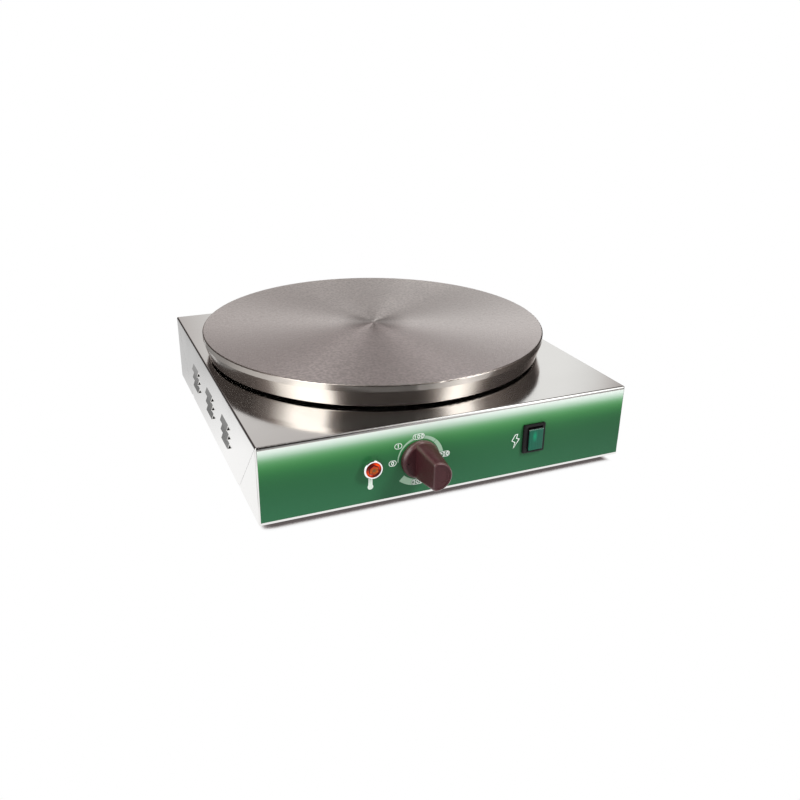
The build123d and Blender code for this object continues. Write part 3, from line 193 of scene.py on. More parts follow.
class Finish(Nodes):
    """A Principled material."""

    def __init__(self, name, **values):
        self.mat = bpy.data.materials.new(name)
        self.mat.use_nodes = True
        super().__init__(self.mat.node_tree)
        self.bsdf = self.tree.nodes["Principled BSDF"]
        for key, value in values.items():
            self.set(key.replace("_", " "), value)
        self.place = self.new("TexCoord").outputs["Object"]

    def set(self, name, value):
        self.put(self.bsdf.inputs[name], value)

    def scaled(self, vector, factors):
        node = self.new("VectorMath", operation="MULTIPLY")
        self.put(node.inputs[0], vector)
        node.inputs[1].default_value = factors
        return node.outputs[0]

    def noise(self, scale, detail=3.0, rough=0.5, vector=None, distortion=0.0):
        node = self.new("TexNoise")
        self.put(node.inputs["Vector"], vector or self.place)
        node.inputs["Scale"].default_value = scale
        node.inputs["Detail"].default_value = detail
        node.inputs["Roughness"].default_value = rough
        node.inputs["Distortion"].default_value = distortion
        return node.outputs["Fac"]

    def rings(self, value, scale, detail):
        """Noise along one number, such as a radius."""
        node = self.new("TexNoise", noise_dimensions="1D")
        self.put(node.inputs["W"], value)
        node.inputs["Scale"].default_value = scale
        node.inputs["Detail"].default_value = detail
        return node.outputs["Fac"]

    def mix(self, share, a, b, blend="MIX"):
        node = self.new("Mix", data_type="RGBA", blend_type=blend)
        self.put(node.inputs[0], share)
        self.put(node.inputs[6], a)
        self.put(node.inputs[7], b)
        return node.outputs[2]

    def toned(self, colour, tone):
        """The colour multiplied by a tone."""
        return self.mix(1.0, colour, tone, "MULTIPLY")

    def tint(self, colour, amount, factor):
        """The colour made lighter and darker by up to the amount as the factor goes from 0 to 1."""
        low = tuple(c * (1 - amount) for c in colour[:3]) + (1,)
        high = tuple(min(c * (1 + amount), 1) for c in colour[:3]) + (1,)
        return self.mix(factor, low, high)

    def edges(self, radius):
        """1 along the edges and 0 on the faces."""
        bevel = self.new("Bevel", samples=8)
        bevel.inputs["Radius"].default_value = radius
        level = self.new("VectorMath", operation="DOT_PRODUCT")
        self.put(level.inputs[0], bevel.outputs[0])
        self.put(level.inputs[1], self.new("NewGeometry").outputs["Normal"])
        return self.span(level.outputs["Value"], 0.998, 0.96)

    def bump(self, height, distance, strength, onto=None):
        node = self.new("Bump")
        node.inputs["Strength"].default_value = strength
        node.inputs["Distance"].default_value = distance
        self.put(node.inputs["Height"], height)
        if onto is not None:
            self.put(node.inputs["Normal"], onto)
        self.set("Normal", node.outputs[0])
        return node.outputs[0]


# ---- materials ---------------------------------------------------------------------------------
def stainless():
    """Bright sheet with faint smears and very low waves."""
    f = Finish("stainless", Metallic=1.0)
    f.set("Base Color", f.tint((0.84, 0.83, 0.815, 1), 0.03, f.noise(9, 4)))
    smears = f.noise(6, 5, 0.6, f.scaled(f.place, (1, 3, 1)))
    f.set("Roughness", f.span(smears, 0.3, 0.7, 0.085, 0.15))
    f.bump(f.noise(28, 2), 0.12 * MM, 0.5)
    return f.mat


# painted shade and light round the griddle's disc, standing in for the uneven reflections of its
# turned top: degrees from the left side round the front, level, and how much green it keeps
PAINTED_SHADE_ROUND_DISC = [(0, 0.98, 0.98), (25, 0.98, 0.965), (45, 0.88, 0.955), (62, 0.75, 0.95),
             (78, 0.81, 0.95), (95, 0.93, 0.95), (130, 0.97, 0.97), (180, 0.97, 1.0),
             (250, 1.0, 1.0), (280, 1.0, 1.0), (300, 1.0, 1.0), (325, 0.98, 0.99),
             (360, 0.98, 0.98)]
FLAT_TOP = (PLATE_Z - 0.16 * MM, PLATE_Z - 0.04 * MM)
# the flat top is darker in the middle, and painted light makes it paler towards the outside
DARK_CENTRE, PAINTED_LIGHT_OUTSIDE = (6 * MM, 36 * MM), (130 * MM, 195 * MM)    # spans of the radius
DULL_CENTRE = (8 * MM, 50 * MM)


def griddle_iron():
    """Turned cast iron: dull, grained and mottled on the flat top, and bright on the rim."""
    f = Finish("griddle_iron", Metallic=0.985, Anisotropic=0.8, Anisotropic_Rotation=0.25)
    x, y, z = f.split(f.place)
    y = f.minus(y, PLATE_Y)
    radius = f.length(x, y)
    turn = f.math("ARCTAN2", y, x)
    top = f.span(z, *FLAT_TOP)
    grain = f.noise(1.0, 3, 0.65, f.join(f.times(radius, 900.0), f.times(turn, 34.0),
                                         f.times(z, 900.0)))
    mottle = f.noise(300, 3, 0.7)
    cloud = f.noise(14, 3)
    tool = f.rings(f.plus(radius, z), 1300, 2)
    shade = f.plus(f.times(f.span(grain, 0.25, 0.75), 0.35),
                   f.times(f.span(mottle, 0.39, 0.61), 0.45))
    shade = f.plus(shade, f.times(cloud, 0.2))
    flat = f.mix(shade, (0.44, 0.405, 0.392, 1), (0.98, 0.935, 0.915, 1))
    # darker in the middle, painted light towards the outside
    dark_centre_and_painted_light = f.times(f.span(radius, *DARK_CENTRE, 0.95, 1.0, True),
                   f.span(radius, *PAINTED_LIGHT_OUTSIDE, 1.0, 1.05))
    flat = f.toned(flat, f.grey(dark_centre_and_painted_light))
    stops = [(degrees / 360, (level, level * green, level * (0.2 + 0.8 * green), 1))
             for degrees, level, green in PAINTED_SHADE_ROUND_DISC]
    # painted shade and light by angle round the disc
    flat = f.toned(flat, f.ramp(f.span(turn, -math.pi, math.pi), stops, "B_SPLINE"))
    rim = f.mix(f.times(tool, 0.5), (0.71, 0.65, 0.60, 1), (0.81, 0.755, 0.695, 1))
    f.set("Base Color", f.mix(top, rim, flat))
    dull = f.plus(f.span(shade, 0.35, 0.65, 0.36, 0.48),
                  f.span(radius, *DULL_CENTRE, 0.25, 0.0, True))
    f.set("Roughness", f.mix(top, (0.15, 0.15, 0.15, 1), f.grey(dull)))
    f.set("Tangent", f.new("Tangent", direction_type="RADIAL", axis="Z").outputs[0])
    mottled = f.bump(f.times(mottle, top), 0.04 * MM, 0.5)
    f.bump(tool, 0.02 * MM, 0.4, mottled)
    return f.mat


# film's green at shares of the panel's height
FILM_SHADES = [(0.0, (38, 102, 66)), (0.25, (27, 93, 56)), (0.5, (24, 92, 50)),
               (0.62, (32, 103, 54)), (0.70, (48, 120, 62)), (0.76, (70, 138, 80)),
               (0.81, (100, 157, 108)), (0.86, (156, 191, 163)), (0.92, (216, 229, 220)),
               (1.0, (240, 242, 239))]
PANEL = (BASE_Z + 1.3 * MM, BASE_Z + 81.3 * MM)
# painted shade: the lower green grows darker to the right
PAINTED_SHADE_RIGHT = (60 * MM, 200 * MM)                # the green grows deeper to the right
# painted shadow line under the top bend, along the film's top edge
SHADOW_LINE_UNDER_BEND = (FILM_TOP - 0.6 * MM, FILM_TOP - 0.4 * MM)


def front_print():
    """Printed film: green that fades to white above, with painted shade that darkens it to the
    right, and a painted shadow line under the bend at the film's top edge."""
    f = Finish("front_print", Specular_IOR_Level=0.2)
    x, _, z = f.split(f.place)
    up = f.span(z, *PANEL)
    wobble = f.times(f.minus(f.noise(16, 2), 0.5), 0.012)
    stops = [(share, linear(*shade)) for share, shade in FILM_SHADES]
    colour = f.ramp(f.plus(up, wobble), stops, "B_SPLINE")
    dots = f.noise(2600, 1, 0.6)
    colour = f.mix(f.span(dots, 0.3, 0.7, 0, 0.02), colour, (0.9, 0.95, 0.9, 1))
    # painted shade on the lower green, darker to the right
    painted_shade = f.grey(f.span(x, *PAINTED_SHADE_RIGHT, 1.0, 0.81))
    colour = f.toned(colour, f.mix(f.span(up, 0.6, 0.85), painted_shade, (1, 1, 1, 1)))
    # painted shadow under the bend, darkening the film's top edge
    cut = f.span(z, *SHADOW_LINE_UNDER_BEND)
    f.set("Base Color", f.mix(cut, colour, linear(150, 146, 142)))
    f.set("Roughness", f.span(f.noise(40, 3), 0.3, 0.7, 0.28, 0.37))
    f.bump(f.noise(700, 2), 0.02 * MM, 0.3)
    return f.mat


def ink(name, colour, uneven):
    """Pale print on the film."""
    f = Finish(name, Specular_IOR_Level=0.4)
    f.set("Base Color", f.tint(linear(*colour), uneven, f.noise(900, 2)))
    f.set("Roughness", f.span(f.noise(60, 2), 0.3, 0.7, 0.3, 0.4))
    return f.mat


# the knob's grip narrows from the skirt's edge out to its front
GRIP = (4.5 * MM, KNOB_REACH)
FLAT = (7.7 * MM, 4.3 * MM)                 # its flat side, left of the axis
GRIP_R = (19.3 * MM, 14.8 * MM)
# how far the extra gloss and the painted highlight go: from the long edges, back from the front, and
# round the skirt
LONG_EDGE, LONG_EDGE_START = (1.0 * MM, 3.2 * MM), (5 * MM, 7 * MM)
FRONT_EDGE, ITS_RIGHT = (KNOB_REACH - 2.2 * MM, KNOB_REACH - 1.6 * MM), (1.2 * MM, 3.6 * MM)
SKIRT_R, SKIRT_REACH, SKIRT_UP = (16.0 * MM, 17.6 * MM), (7.5 * MM, 6.0 * MM), (1 * MM, 10 * MM)


def bakelite():
    """Moulded knob: dull faces, and a glossy coat with a painted highlight on the skirt's upper
    part, the two long edges and the front edge of the grip."""
    f = Finish("bakelite", Coat_Roughness=0.12, Coat_IOR=1.7)
    x, y, z = f.split(f.place)
    x, z = f.minus(x, KNOB_X), f.minus(z, CONTROL_Z)
    reach = f.minus(FRONT_Y, y)
    flat, radius = f.span(reach, *GRIP, *FLAT), f.span(reach, *GRIP, *GRIP_R)
    half = f.math("SQRT", f.minus(f.times(radius, radius), f.times(flat, flat)))
    from_flat = f.plus(x, flat)
    from_edge = f.length(from_flat, f.minus(f.math("ABSOLUTE", z), half))
    long_edges = f.times(f.span(from_edge, *LONG_EDGE, 1.0, 0.0),
                         f.span(reach, *LONG_EDGE_START))
    facing = f.math("ABSOLUTE", f.split(f.new("NewGeometry").outputs["Normal"])[1])
    front_edge = f.times(f.span(reach, *FRONT_EDGE), f.span(facing, 0.985, 0.90))
    right_side = f.span(from_flat, *ITS_RIGHT, 0.22, 1.0)
    front_edge = f.times(front_edge, f.most(long_edges, right_side))
    skirt = f.times(f.span(f.length(x, z), *SKIRT_R), f.span(reach, *SKIRT_REACH))
    # the skirt's painted highlight lies mostly on its upper part, where the light falls
    skirt = f.times(skirt, f.span(z, *SKIRT_UP, 0.12, 1.0))
    gloss_and_painted_highlight = f.most(f.most(f.times(long_edges, 0.7), front_edge), skirt)
    specks = f.noise(900, 3, 0.7)
    body = f.mix(f.span(specks, 0.35, 0.7), linear(60, 28, 32), linear(76, 39, 43))
    # painted highlight: the base colour lightens to a pale brown along these edges
    f.set("Base Color", f.mix(f.times(gloss_and_painted_highlight, 0.22), body, linear(150, 112, 108)))
    f.set("Coat Weight", f.span(gloss_and_painted_highlight, 0, 1, 0.05, 1.0))
    f.set("Specular IOR Level", f.span(gloss_and_painted_highlight, 0, 1, 0.22, 0.5))
    f.set("Roughness", f.span(f.noise(240, 3), 0.3, 0.7, 0.38, 0.5))
    f.bump(f.noise(1300, 2), 0.03 * MM, 0.5)
    return f.mat


def chrome():
    """Bright plating."""
    f = Finish("chrome_trim", Metallic=1.0)
    f.set("Base Color", f.tint((0.94, 0.94, 0.95, 1), 0.03, f.noise(200, 2)))
    f.set("Roughness", f.span(f.noise(300, 3), 0.3, 0.7, 0.05, 0.12))
    return f.mat


# the lamp's lens, from its middle
CORE = (0.9 * MM, 3.0 * MM)                 # radius over which the dull core fades
UPPER_TABLE = (1.4 * MM, 3.6 * MM)          # the table turns redder above
TABLE_EDGE, LINE_EDGE = (4.0 * MM, 4.4 * MM), (4.9 * MM, 5.4 * MM)
HEXAGON_TURN, LIT_TURN = math.radians(33), math.radians(85)


def lamp_lens():
    """Six-sided cut lens: an amber table with a dull core, a dark line round it, and facets painted
    with light and shade from orange red to dark brown."""
    f = Finish("lamp_lens", Specular_IOR_Level=0.15, Coat_Weight=0.1, Coat_Roughness=0.05)
    x, _, z = f.split(f.place)
    x, z = f.minus(x, LAMP_X), f.minus(z, CONTROL_Z)
    turn = f.math("ARCTAN2", z, x)
    radius = f.length(x, z)
    sixth = math.tau / 6
    within = f.math("FLOORED_MODULO", f.minus(turn, HEXAGON_TURN), sixth)
    # distance from the axis, square to the nearest side of the hexagon
    side = f.times(radius, f.math("COSINE", f.minus(within, sixth / 2)))
    cells = f.new("TexVoronoi", feature="F1")
    f.put(cells.inputs["Vector"], f.place)
    cells.inputs["Scale"].default_value = 520
    spark = f.math("MULTIPLY", cells.outputs["Distance"], 1.2, True)
    # painted light and shade: the facets at the lower left and upper right are lighter, the others
    # darker
    lit = f.math("COSINE", f.minus(f.times(turn, 2.0), LIT_TURN))
    lit = f.plus(f.times(lit, 0.5), f.times(spark, 0.2))
    facets = f.ramp(f.span(lit, -0.5, 0.6), [(0.0, linear(72, 12, 8)), (0.4, linear(112, 24, 10)),
                                             (0.8, linear(204, 52, 8)), (1.0, linear(236, 76, 12))])
    table = f.mix(spark, linear(194, 94, 10), linear(146, 48, 6))
    table = f.mix(f.span(z, *UPPER_TABLE), table, linear(170, 44, 16))
    table = f.mix(f.span(radius, *CORE), linear(100, 70, 36), table)
    colour = f.mix(f.span(side, *TABLE_EDGE), table, linear(66, 18, 20))
    colour = f.mix(f.span(side, *LINE_EDGE), colour, facets)
    f.set("Base Color", colour)
    f.set("Emission Color", colour)
    f.set("Emission Strength", 0.16)
    f.set("Roughness", f.span(spark, 0, 1, 0.08, 0.16))
    f.bump(spark, 0.2 * MM, 0.4)
    return f.mat


# the rocker's window, from its middle
GLOW_X, GLOW_Z = -1.8 * MM, 4.0 * MM        # middle of the light behind it
GLOW_HALF_W, GLOW_HALF_H = 2.8 * MM, 6.2 * MM
GREYER = (-4 * MM, 8 * MM)                  # it grows greyer to the right
WINDOW_TOP = (10.6 * MM, 11.2 * MM)
WINDOW_EDGE_R = 0.5 * MM


def rocker_green():
    """Green window with fine upright ribs, a painted highlight along its upper edge, and a little
    light behind its upper left part."""
    f = Finish("rocker_green", Specular_IOR_Level=0.12, Coat_Weight=0.05, Coat_Roughness=0.08)
    x, _, z = f.split(f.place)
    x, z = f.minus(x, SWITCH_X), f.minus(z, CONTROL_Z)
    across = f.math("DIVIDE", f.minus(x, GLOW_X), GLOW_HALF_W)
    up = f.math("DIVIDE", f.minus(z, GLOW_Z), GLOW_HALF_H)
    glow = f.span(f.length(across, up), 0.0, 1.3, 1.0, 0.0, True)
    ribs = f.span(f.rings(x, 1500, 1), 0.35, 0.65)
    green = f.mix(ribs, linear(18, 84, 64), linear(34, 98, 78))
    green = f.mix(f.span(x, *GREYER, 0.0, 0.5), green, linear(46, 84, 72))
    colour = f.mix(glow, green, linear(18, 132, 96))
    # painted highlight along the upper edge
    painted_highlight_edge = f.times(f.edges(WINDOW_EDGE_R), f.span(z, *WINDOW_TOP))
    colour = f.mix(painted_highlight_edge, colour, linear(214, 228, 222))
    f.set("Base Color", colour)
    f.set("Emission Color", colour)
    f.set("Emission Strength", 0.06)
    f.set("Roughness", f.span(f.noise(300, 2), 0.3, 0.7, 0.16, 0.26))
    f.bump(ribs, 0.04 * MM, 0.4)
    return f.mat


def mineral_mat():
    """Pressed fibres of the insulation."""
    f = Finish("mineral_mat", Sheen_Weight=0.2)
    fibres = f.noise(60, 6, 0.75, f.scaled(f.place, (1, 6, 1)), 1.5)
    f.set("Base Color", f.mix(fibres, linear(196, 190, 176), linear(238, 234, 224)))
    f.set("Roughness", f.span(fibres, 0, 1, 0.9, 1.0))
    f.bump(fibres, 0.8 * MM, 0.8)
    return f.mat


def earth_wire():
    """Green and yellow insulation, striped across the wire."""
    f = Finish("wire_earth")
    x, y, z = f.split(f.place)
    stripes = f.math("SINE", f.times(f.plus(f.plus(x, y), z), 900.0))
    f.set("Base Color", f.mix(f.span(stripes, 0.2, 0.4), linear(60, 120, 40), linear(222, 200, 40)))
    f.set("Roughness", f.span(f.noise(300, 2), 0.3, 0.7, 0.4, 0.55))
    return f.mat


def plain(name, low, high, rough, grain, metallic=0.0, bump=0.03 * MM, **values):
    """A moulded, plated or bare finish: two close colours, uneven gloss and a fine grain."""
    f = Finish(name, Metallic=metallic, **values)
    f.set("Base Color", f.mix(f.noise(grain, 3, 0.6), linear(*low), linear(*high)))
    f.set("Roughness", f.span(f.noise(grain / 3, 3), 0.3, 0.7, *rough))
    f.bump(f.noise(grain * 2, 2), bump, 0.5)
    return f.mat


# the two colours, the span of roughness, the grain per metre, and whether it is metal
PLAIN = {
    "zinc_steel": ((188, 190, 194), (214, 214, 212), (0.28, 0.42), 400, 1.0),
    "element_sheath": ((92, 86, 80), (128, 118, 106), (0.4, 0.6), 300, 1.0),
    "element_pin": ((186, 184, 178), (208, 206, 200), (0.3, 0.4), 400, 1.0),
    "copper": ((196, 128, 96), (222, 150, 112), (0.3, 0.45), 400, 1.0),
    "brass": ((206, 176, 104), (226, 198, 124), (0.28, 0.42), 400, 1.0),
    "ceramic": ((224, 219, 206), (240, 236, 226), (0.4, 0.6), 500),
    "block_plastic": ((228, 224, 212), (240, 236, 226), (0.42, 0.55), 500),
    "wire_brown": ((86, 50, 30), (104, 62, 38), (0.4, 0.55), 500),
    "wire_blue": ((34, 78, 150), (46, 92, 168), (0.4, 0.55), 500),
    "wire_lamp": ((176, 176, 170), (196, 196, 190), (0.4, 0.55), 500),
}

FINISHES = {
    "stainless": stainless(),
    "griddle_iron": griddle_iron(),
    "front_print": front_print(),
    "bakelite": bakelite(),
    "chrome_trim": chrome(),
    "lamp_lens": lamp_lens(),
    "rocker_green": rocker_green(),
    "mineral_mat": mineral_mat(),
    "wire_earth": earth_wire(),
    "black_plastic": plain("black_plastic", (17, 14, 16), (27, 23, 26), (0.4, 0.55), 700,
                           Specular_IOR_Level=0.25),
    "neon_glass": plain("neon_glass", (236, 150, 96), (246, 176, 120), (0.05, 0.12), 300,
                        Specular_IOR_Level=0.7),
    "rubber": plain("rubber", (24, 24, 24), (38, 37, 36), (0.75, 0.9), 500, bump=0.08 * MM),
}
FINISHES.update({name: plain(name, *values) for name, values in PLAIN.items()})

# a node's own material is named after its slot
for obj in frame["nodes"].values():
    for material_slot in obj.material_slots:
        own_name = material_slot.material.name
        material_slot.material = next(finish for slot, finish in FINISHES.items()
                                      if own_name.startswith(slot))

# ---- printed graphics --------------------------------------------------------------------------
# Points are (x, z) in millimetres, x from the middle and z from the box's lower edge.
PEN, THIN_PEN, BOLT_PEN = 0.8, 0.6, 0.85
UNDER, OVER = 0.03 * MM, 0.05 * MM          # how far the prints lie in front of the film

LABEL_H = 6.2
# text, x, z and width
LABELS = [("0", -68.1, 40.1, 8.2), ("1", -62.3, 57.7, 8.1), ("100", -40.8, 64.5, 12.7),
          ("200", -12.5, 40.2, 12.9), ("300", -41.0, 14.8, 12.9)]
LABEL_MARGIN = 0.5                          # between a label and the band
DIGIT_W, DIGIT_H, DIGIT_GAP = 2.9, 4.1, 0.75

DIAL_X, DIAL_Z = -40.0, 40.0
BAND_INNER_R = 22.0
BAND_START_R, BAND_END_R = 22.8, 29.5       # its outside, which grows clockwise from the left
BAND_SWEEP = 315.0
BAND_STEP, BAND_PARTS = 0.5, 24             # degrees to a face, and parts across the band
TICK_AT, TICK_HALF = 135, 0.6               # gap in the band, in degrees

STEM_X, STEM_HALF = -91.3, 1.8
STEM_LOW, STEM_TOP = 24.0, 30.8
SLOT_LOW, SLOT_HALF = 27.4, 0.35            # open slot at the top of the stem
BULB_Z, BULB_R = 19.0, 2.6
FILL_INSET = 0.3

BOLT = [(69.2, 46.7), (71.9, 46.7), (70.6, 42.5), (74.1, 41.1), (67.8, 32.0), (69.2, 37.9),
        (65.5, 40.3)]


def flat_piece(name, faces, finish, level):
    """A thin print on the front panel."""
    mesh = bpy.data.meshes.new(name)
    build = bmesh.new()
    for face in faces:
        area = sum(a[0] * b[1] - b[0] * a[1] for a, b in zip(face, face[1:] + face[:1]))
        if area < 0:
            face = face[::-1]
        build.faces.new([build.verts.new((x * MM, PRINT_Y - level, BASE_Z + z * MM))
                         for x, z in face])
    bmesh.ops.remove_doubles(build, verts=build.verts, dist=1e-7)
    build.to_mesh(mesh)
    build.free()
    obj = bpy.data.objects.new(name, mesh)
    bpy.context.scene.collection.objects.link(obj)
    mesh.materials.append(finish)
    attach(obj, "body")


def stroke(points, width, closed=True):
    """Faces of a line of even width along a path, mitred at its corners."""
    path = [Vector(p) for p in points]
    count = len(path)
    sides = []
    for i, here in enumerate(path):
        before = path[i - 1] if closed or i else None
        after = path[(i + 1) % count] if closed or i < count - 1 else None
        ways = [(b - a).normalized() for a, b in ((before, here), (here, after))
                if a is not None and b is not None]
        normal = sum((Vector((-w.y, w.x)) for w in ways), Vector((0, 0))).normalized()
        reach = width / 2 / max(normal.dot(Vector((-ways[0].y, ways[0].x))), 0.4)
        sides.append((tuple(here + normal * reach), tuple(here - normal * reach)))
    pairs = zip(sides, sides[1:] + (sides[:1] if closed else []))
    return [[a[0], a[1], b[1], b[0]] for a, b in pairs]


def arc(cx, cz, rx, rz, start, end, step):
    """Points round an ellipse, by whole degrees."""
    return [(cx + rx * math.cos(a), cz + rz * math.sin(a))
            for a in (math.radians(degrees) for degrees in range(start, end, step))]


def pill(cx, cz, width, height):
    """Outline of a rounded label."""
    r = height / 2
    return (arc(cx + (width / 2 - r), cz, r, r, -90, 91, 18)
            + arc(cx - (width / 2 - r), cz, r, r, 90, 271, 18))


def digit(kind, cx, cz):
    """Faces of one numeral of the dial."""
    w, h = (DIGIT_W - PEN) / 2, (DIGIT_H - PEN) / 2
    if kind == "0":
        r = min(w, h)
        loop = []
        for sx, sz, start in ((1, 1, 0), (-1, 1, 90), (-1, -1, 180), (1, -1, 270)):
            loop += arc(cx + sx * (w - r), cz + sz * (h - r), r, r, start, start + 91, 18)
        return stroke(loop, PEN)
    if kind == "1":
        return stroke([(cx - w * 0.6, cz + h * 0.5), (cx, cz + h), (cx, cz - h)], PEN, False)
    if kind == "2":
        bow = arc(cx, cz + h * 0.45, w, h * 0.55, 165, -46, -30)
        return stroke(bow + [(cx - w, cz - h), (cx + w, cz - h)], PEN, False)
    bows = (arc(cx, cz + h * 0.48, w, h * 0.48, 150, -91, -30)
            + arc(cx, cz - h * 0.5, w, h * 0.5, 60, -151, -30))
    return stroke(bows, PEN, False)


def on_dial(sweep, r):
    """Point of the dial at a sweep clockwise from its left side."""
    a = math.radians(180 - sweep)
    return DIAL_X + r * math.cos(a), DIAL_Z + r * math.sin(a)


def clear_of_labels(x, z):
    reach = LABEL_H / 2 + LABEL_MARGIN
    for _, label_x, label_z, width in LABELS:
        beyond = max(abs(x - label_x) - (width - LABEL_H) / 2, 0)
        if math.hypot(beyond, z - label_z) < reach:
            return False
    return True


def dial_band():
    """The band grows wider clockwise from the left, and parts round each label and at one tick."""
    def radius(sweep, part):
        outer = BAND_START_R + (BAND_END_R - BAND_START_R) * (sweep / BAND_SWEEP) ** 0.95
        return BAND_INNER_R + (outer - BAND_INNER_R) * part / BAND_PARTS

    faces = []
    for i in range(int(BAND_SWEEP / BAND_STEP)):
        start, end = i * BAND_STEP, (i + 1) * BAND_STEP
        middle_sweep = (start + end) / 2
        if abs(middle_sweep - TICK_AT) < TICK_HALF:
            continue
        shown = [clear_of_labels(*on_dial(middle_sweep, radius(middle_sweep, k + 0.5)))
                 for k in range(BAND_PARTS)]
        low = None
        for k, flag in enumerate(shown + [False]):
            if flag and low is None:
                low = k
            elif not flag and low is not None:
                faces.append([on_dial(sweep, radius(sweep, part))
                              for sweep, part in ((start, low), (end, low), (end, k), (start, k))])
                low = None
    return faces


def dial_labels():
    faces = []
    for text, x, z, width in LABELS:
        faces += stroke(pill(x, z, width - THIN_PEN, LABEL_H - THIN_PEN), THIN_PEN)
        for i, kind in enumerate(text):
            dx = (i - (len(text) - 1) / 2) * (DIGIT_W + DIGIT_GAP)
            faces += digit(kind, x + dx, z)
    return faces


def bulb(inset=0.0):
    """Outline of the thermometer's bulb, from the right of the stem's foot round to its left."""
    half, r = STEM_HALF - inset, BULB_R - inset
    bow = arc(STEM_X, BULB_Z, r, r, 46, -227, -15)
    return [(STEM_X + half, STEM_LOW)] + bow + [(STEM_X - half, STEM_LOW)]


def thermometer_line():
    outline = [(STEM_X + STEM_HALF, STEM_TOP)] + bulb() + [(STEM_X - STEM_HALF, STEM_TOP)]
    return stroke(outline, THIN_PEN, False)


def thermometer_fill():
    """The bulb and stem filled in, but for the slot."""
    half = STEM_HALF - FILL_INSET
    columns = ((-half, half, STEM_LOW, SLOT_LOW), (-half, -SLOT_HALF, SLOT_LOW, STEM_TOP),
               (SLOT_HALF, half, SLOT_LOW, STEM_TOP))
    return [bulb(FILL_INSET)] + [
        [(STEM_X + left, low), (STEM_X + right, low), (STEM_X + right, high), (STEM_X + left, high)]
        for left, right, low, high in columns]


pale_ink = ink("pale_print", (240, 246, 241), 0.03)
flat_piece("dial_band", dial_band(), ink("band_print", (160, 192, 166), 0.04), UNDER)
flat_piece("dial_labels", dial_labels(), pale_ink, OVER)
flat_piece("thermometer_fill", thermometer_fill(), ink("soft_print", (214, 228, 216), 0.03), UNDER)
flat_piece("thermometer_line", thermometer_line(), pale_ink, OVER)
flat_piece("bolt_print", stroke(BOLT, BOLT_PEN), pale_ink, UNDER)

# ---- studio ------------------------------------------------------------------------------------
# Softboxes and black cards round the object, as brightness by azimuth in degrees, 0 behind the
# object and 90 to its right: low down, high up, and on the floor close to the object. Only shiny
# surfaces see them.
TENT_LOW = [(-180, 0.03), (-140, 0.04), (-133, 0.3), (-128, 1.9), (-110, 1.9), (-101, 0.8),
            (-92, 0.2), (-78, 0.06), (-20, 0.05), (-12, 0.08), (-4, 0.4), (3, 0.70), (14, 0.60),
            (26, 0.78), (37, 0.87), (44, 0.87), (47.5, 0.76), (51, 0.38), (56, 0.22), (64, 0.08),
            (72, 0.04), (104, 0.07), (128, 0.2), (136, 0.6), (142, 1.9), (154, 1.9), (161, 0.4),
            (168, 0.05), (180, 0.03)]
TENT_HIGH = [(-180, 0.03), (-138, 0.04), (-129, 0.2), (-124, 1.8), (-112, 2.3), (-96, 2.3),
             (-84, 1.5), (-77, 0.4), (-64, 0.16), (-45, 0.12), (-10, 0.18), (20, 0.20),
             (36, 0.24), (56, 0.11), (72, 0.04), (104, 0.05), (113, 0.15), (119, 0.6),
             (123, 1.5), (130, 2.3), (137, 2.4), (143, 1.6), (149, 0.15), (156, 0.04),
             (180, 0.03)]
NEAR_FLOOR = [(-180, 0.10), (-150, 0.06), (-138, 0.4), (-124, 1.2), (-110, 1.0), (-98, 0.66),
              (-80, 0.5), (-66, 0.33), (-48, 0.32), (-30, 0.5), (0, 0.6), (45, 1.0), (60, 1.2),
              (67, 0.8), (76, 0.2), (90, 0.08), (126, 0.10), (142, 0.4), (152, 1.1), (163, 0.7),
              (174, 0.28)]
TENT_R, TENT_TURNS, TENT_RINGS = 1.6, 72, 16
TENT_REACH = math.radians(86)               # elevation of its upper edge
HIGH_FROM, HIGH_TO = math.radians(26), math.radians(56)     # where low turns into high

FLOOR_HALF, FLOOR_Z = 4, -0.2 * MM          # just under the feet
SHADOW_REACH = 16 * MM
SHADOW_LEAN = (-0.5, 0.35, 0.79)            # to the left and back, and up
CORNER_X, CORNER_Y = (186 * MM, 194 * MM), (-120 * MM, -170 * MM)      # where the shadow ends
# the floor that shiny surfaces see: distances from the box over which its parts fade
WHITE_IN_FRONT, WHITE_BESIDE = (120 * MM, 180 * MM), (40 * MM, 49 * MM)
SIDE_CARDS, TENT_CARDS = (70 * MM, 120 * MM), (280 * MM, 500 * MM)
# and the places in y, from the front to the rear, where it changes
WHITE_DIMS = (-20 * MM, 250 * MM)
WHITE_FRONT_ENDS, CARD_FRONT_ENDS = (-230 * MM, -190 * MM), (-210 * MM, -190 * MM)

# name, place, height of the aim, side and watts of each lamp
LAMPS = [("key", (1.6, -1.7, 2.0), 0.05, 0.8, 60), ("fill", (-1.2, -0.5, 0.7), 0.05, 0.9, 6),
         ("over", (0.0, 0.3, 1.5), 0.1, 1.0, 6)]
WORLD_LIGHT = 0.48


class Glow(Nodes):
    """An emission material for the studio."""

    def __init__(self, name):
        self.mat = bpy.data.materials.new(name)
        self.mat.use_nodes = True
        super().__init__(self.mat.node_tree)
        self.tree.nodes.clear()
        self.place = self.new("TexCoord").outputs["Object"]

    def blend(self, share, a, b):
        node = self.new("Mix", data_type="FLOAT")
        for socket, value in ((node.inputs[0], share), (node.inputs[2], a), (node.inputs[3], b)):
            self.put(socket, value)
        return node.outputs[0]

    def around(self, stops):
        """Brightness by azimuth. A ramp's colours stop at 1, so it holds half of each level."""
        x, y, _ = self.split(self.place)
        turn = self.span(self.math("ARCTAN2", x, y), -math.pi, math.pi)
        half = self.ramp(turn, [((azimuth + 180) / 360, (level / 2,) * 3 + (1,))
                                for azimuth, level in stops])
        return self.times(half, 2.0)


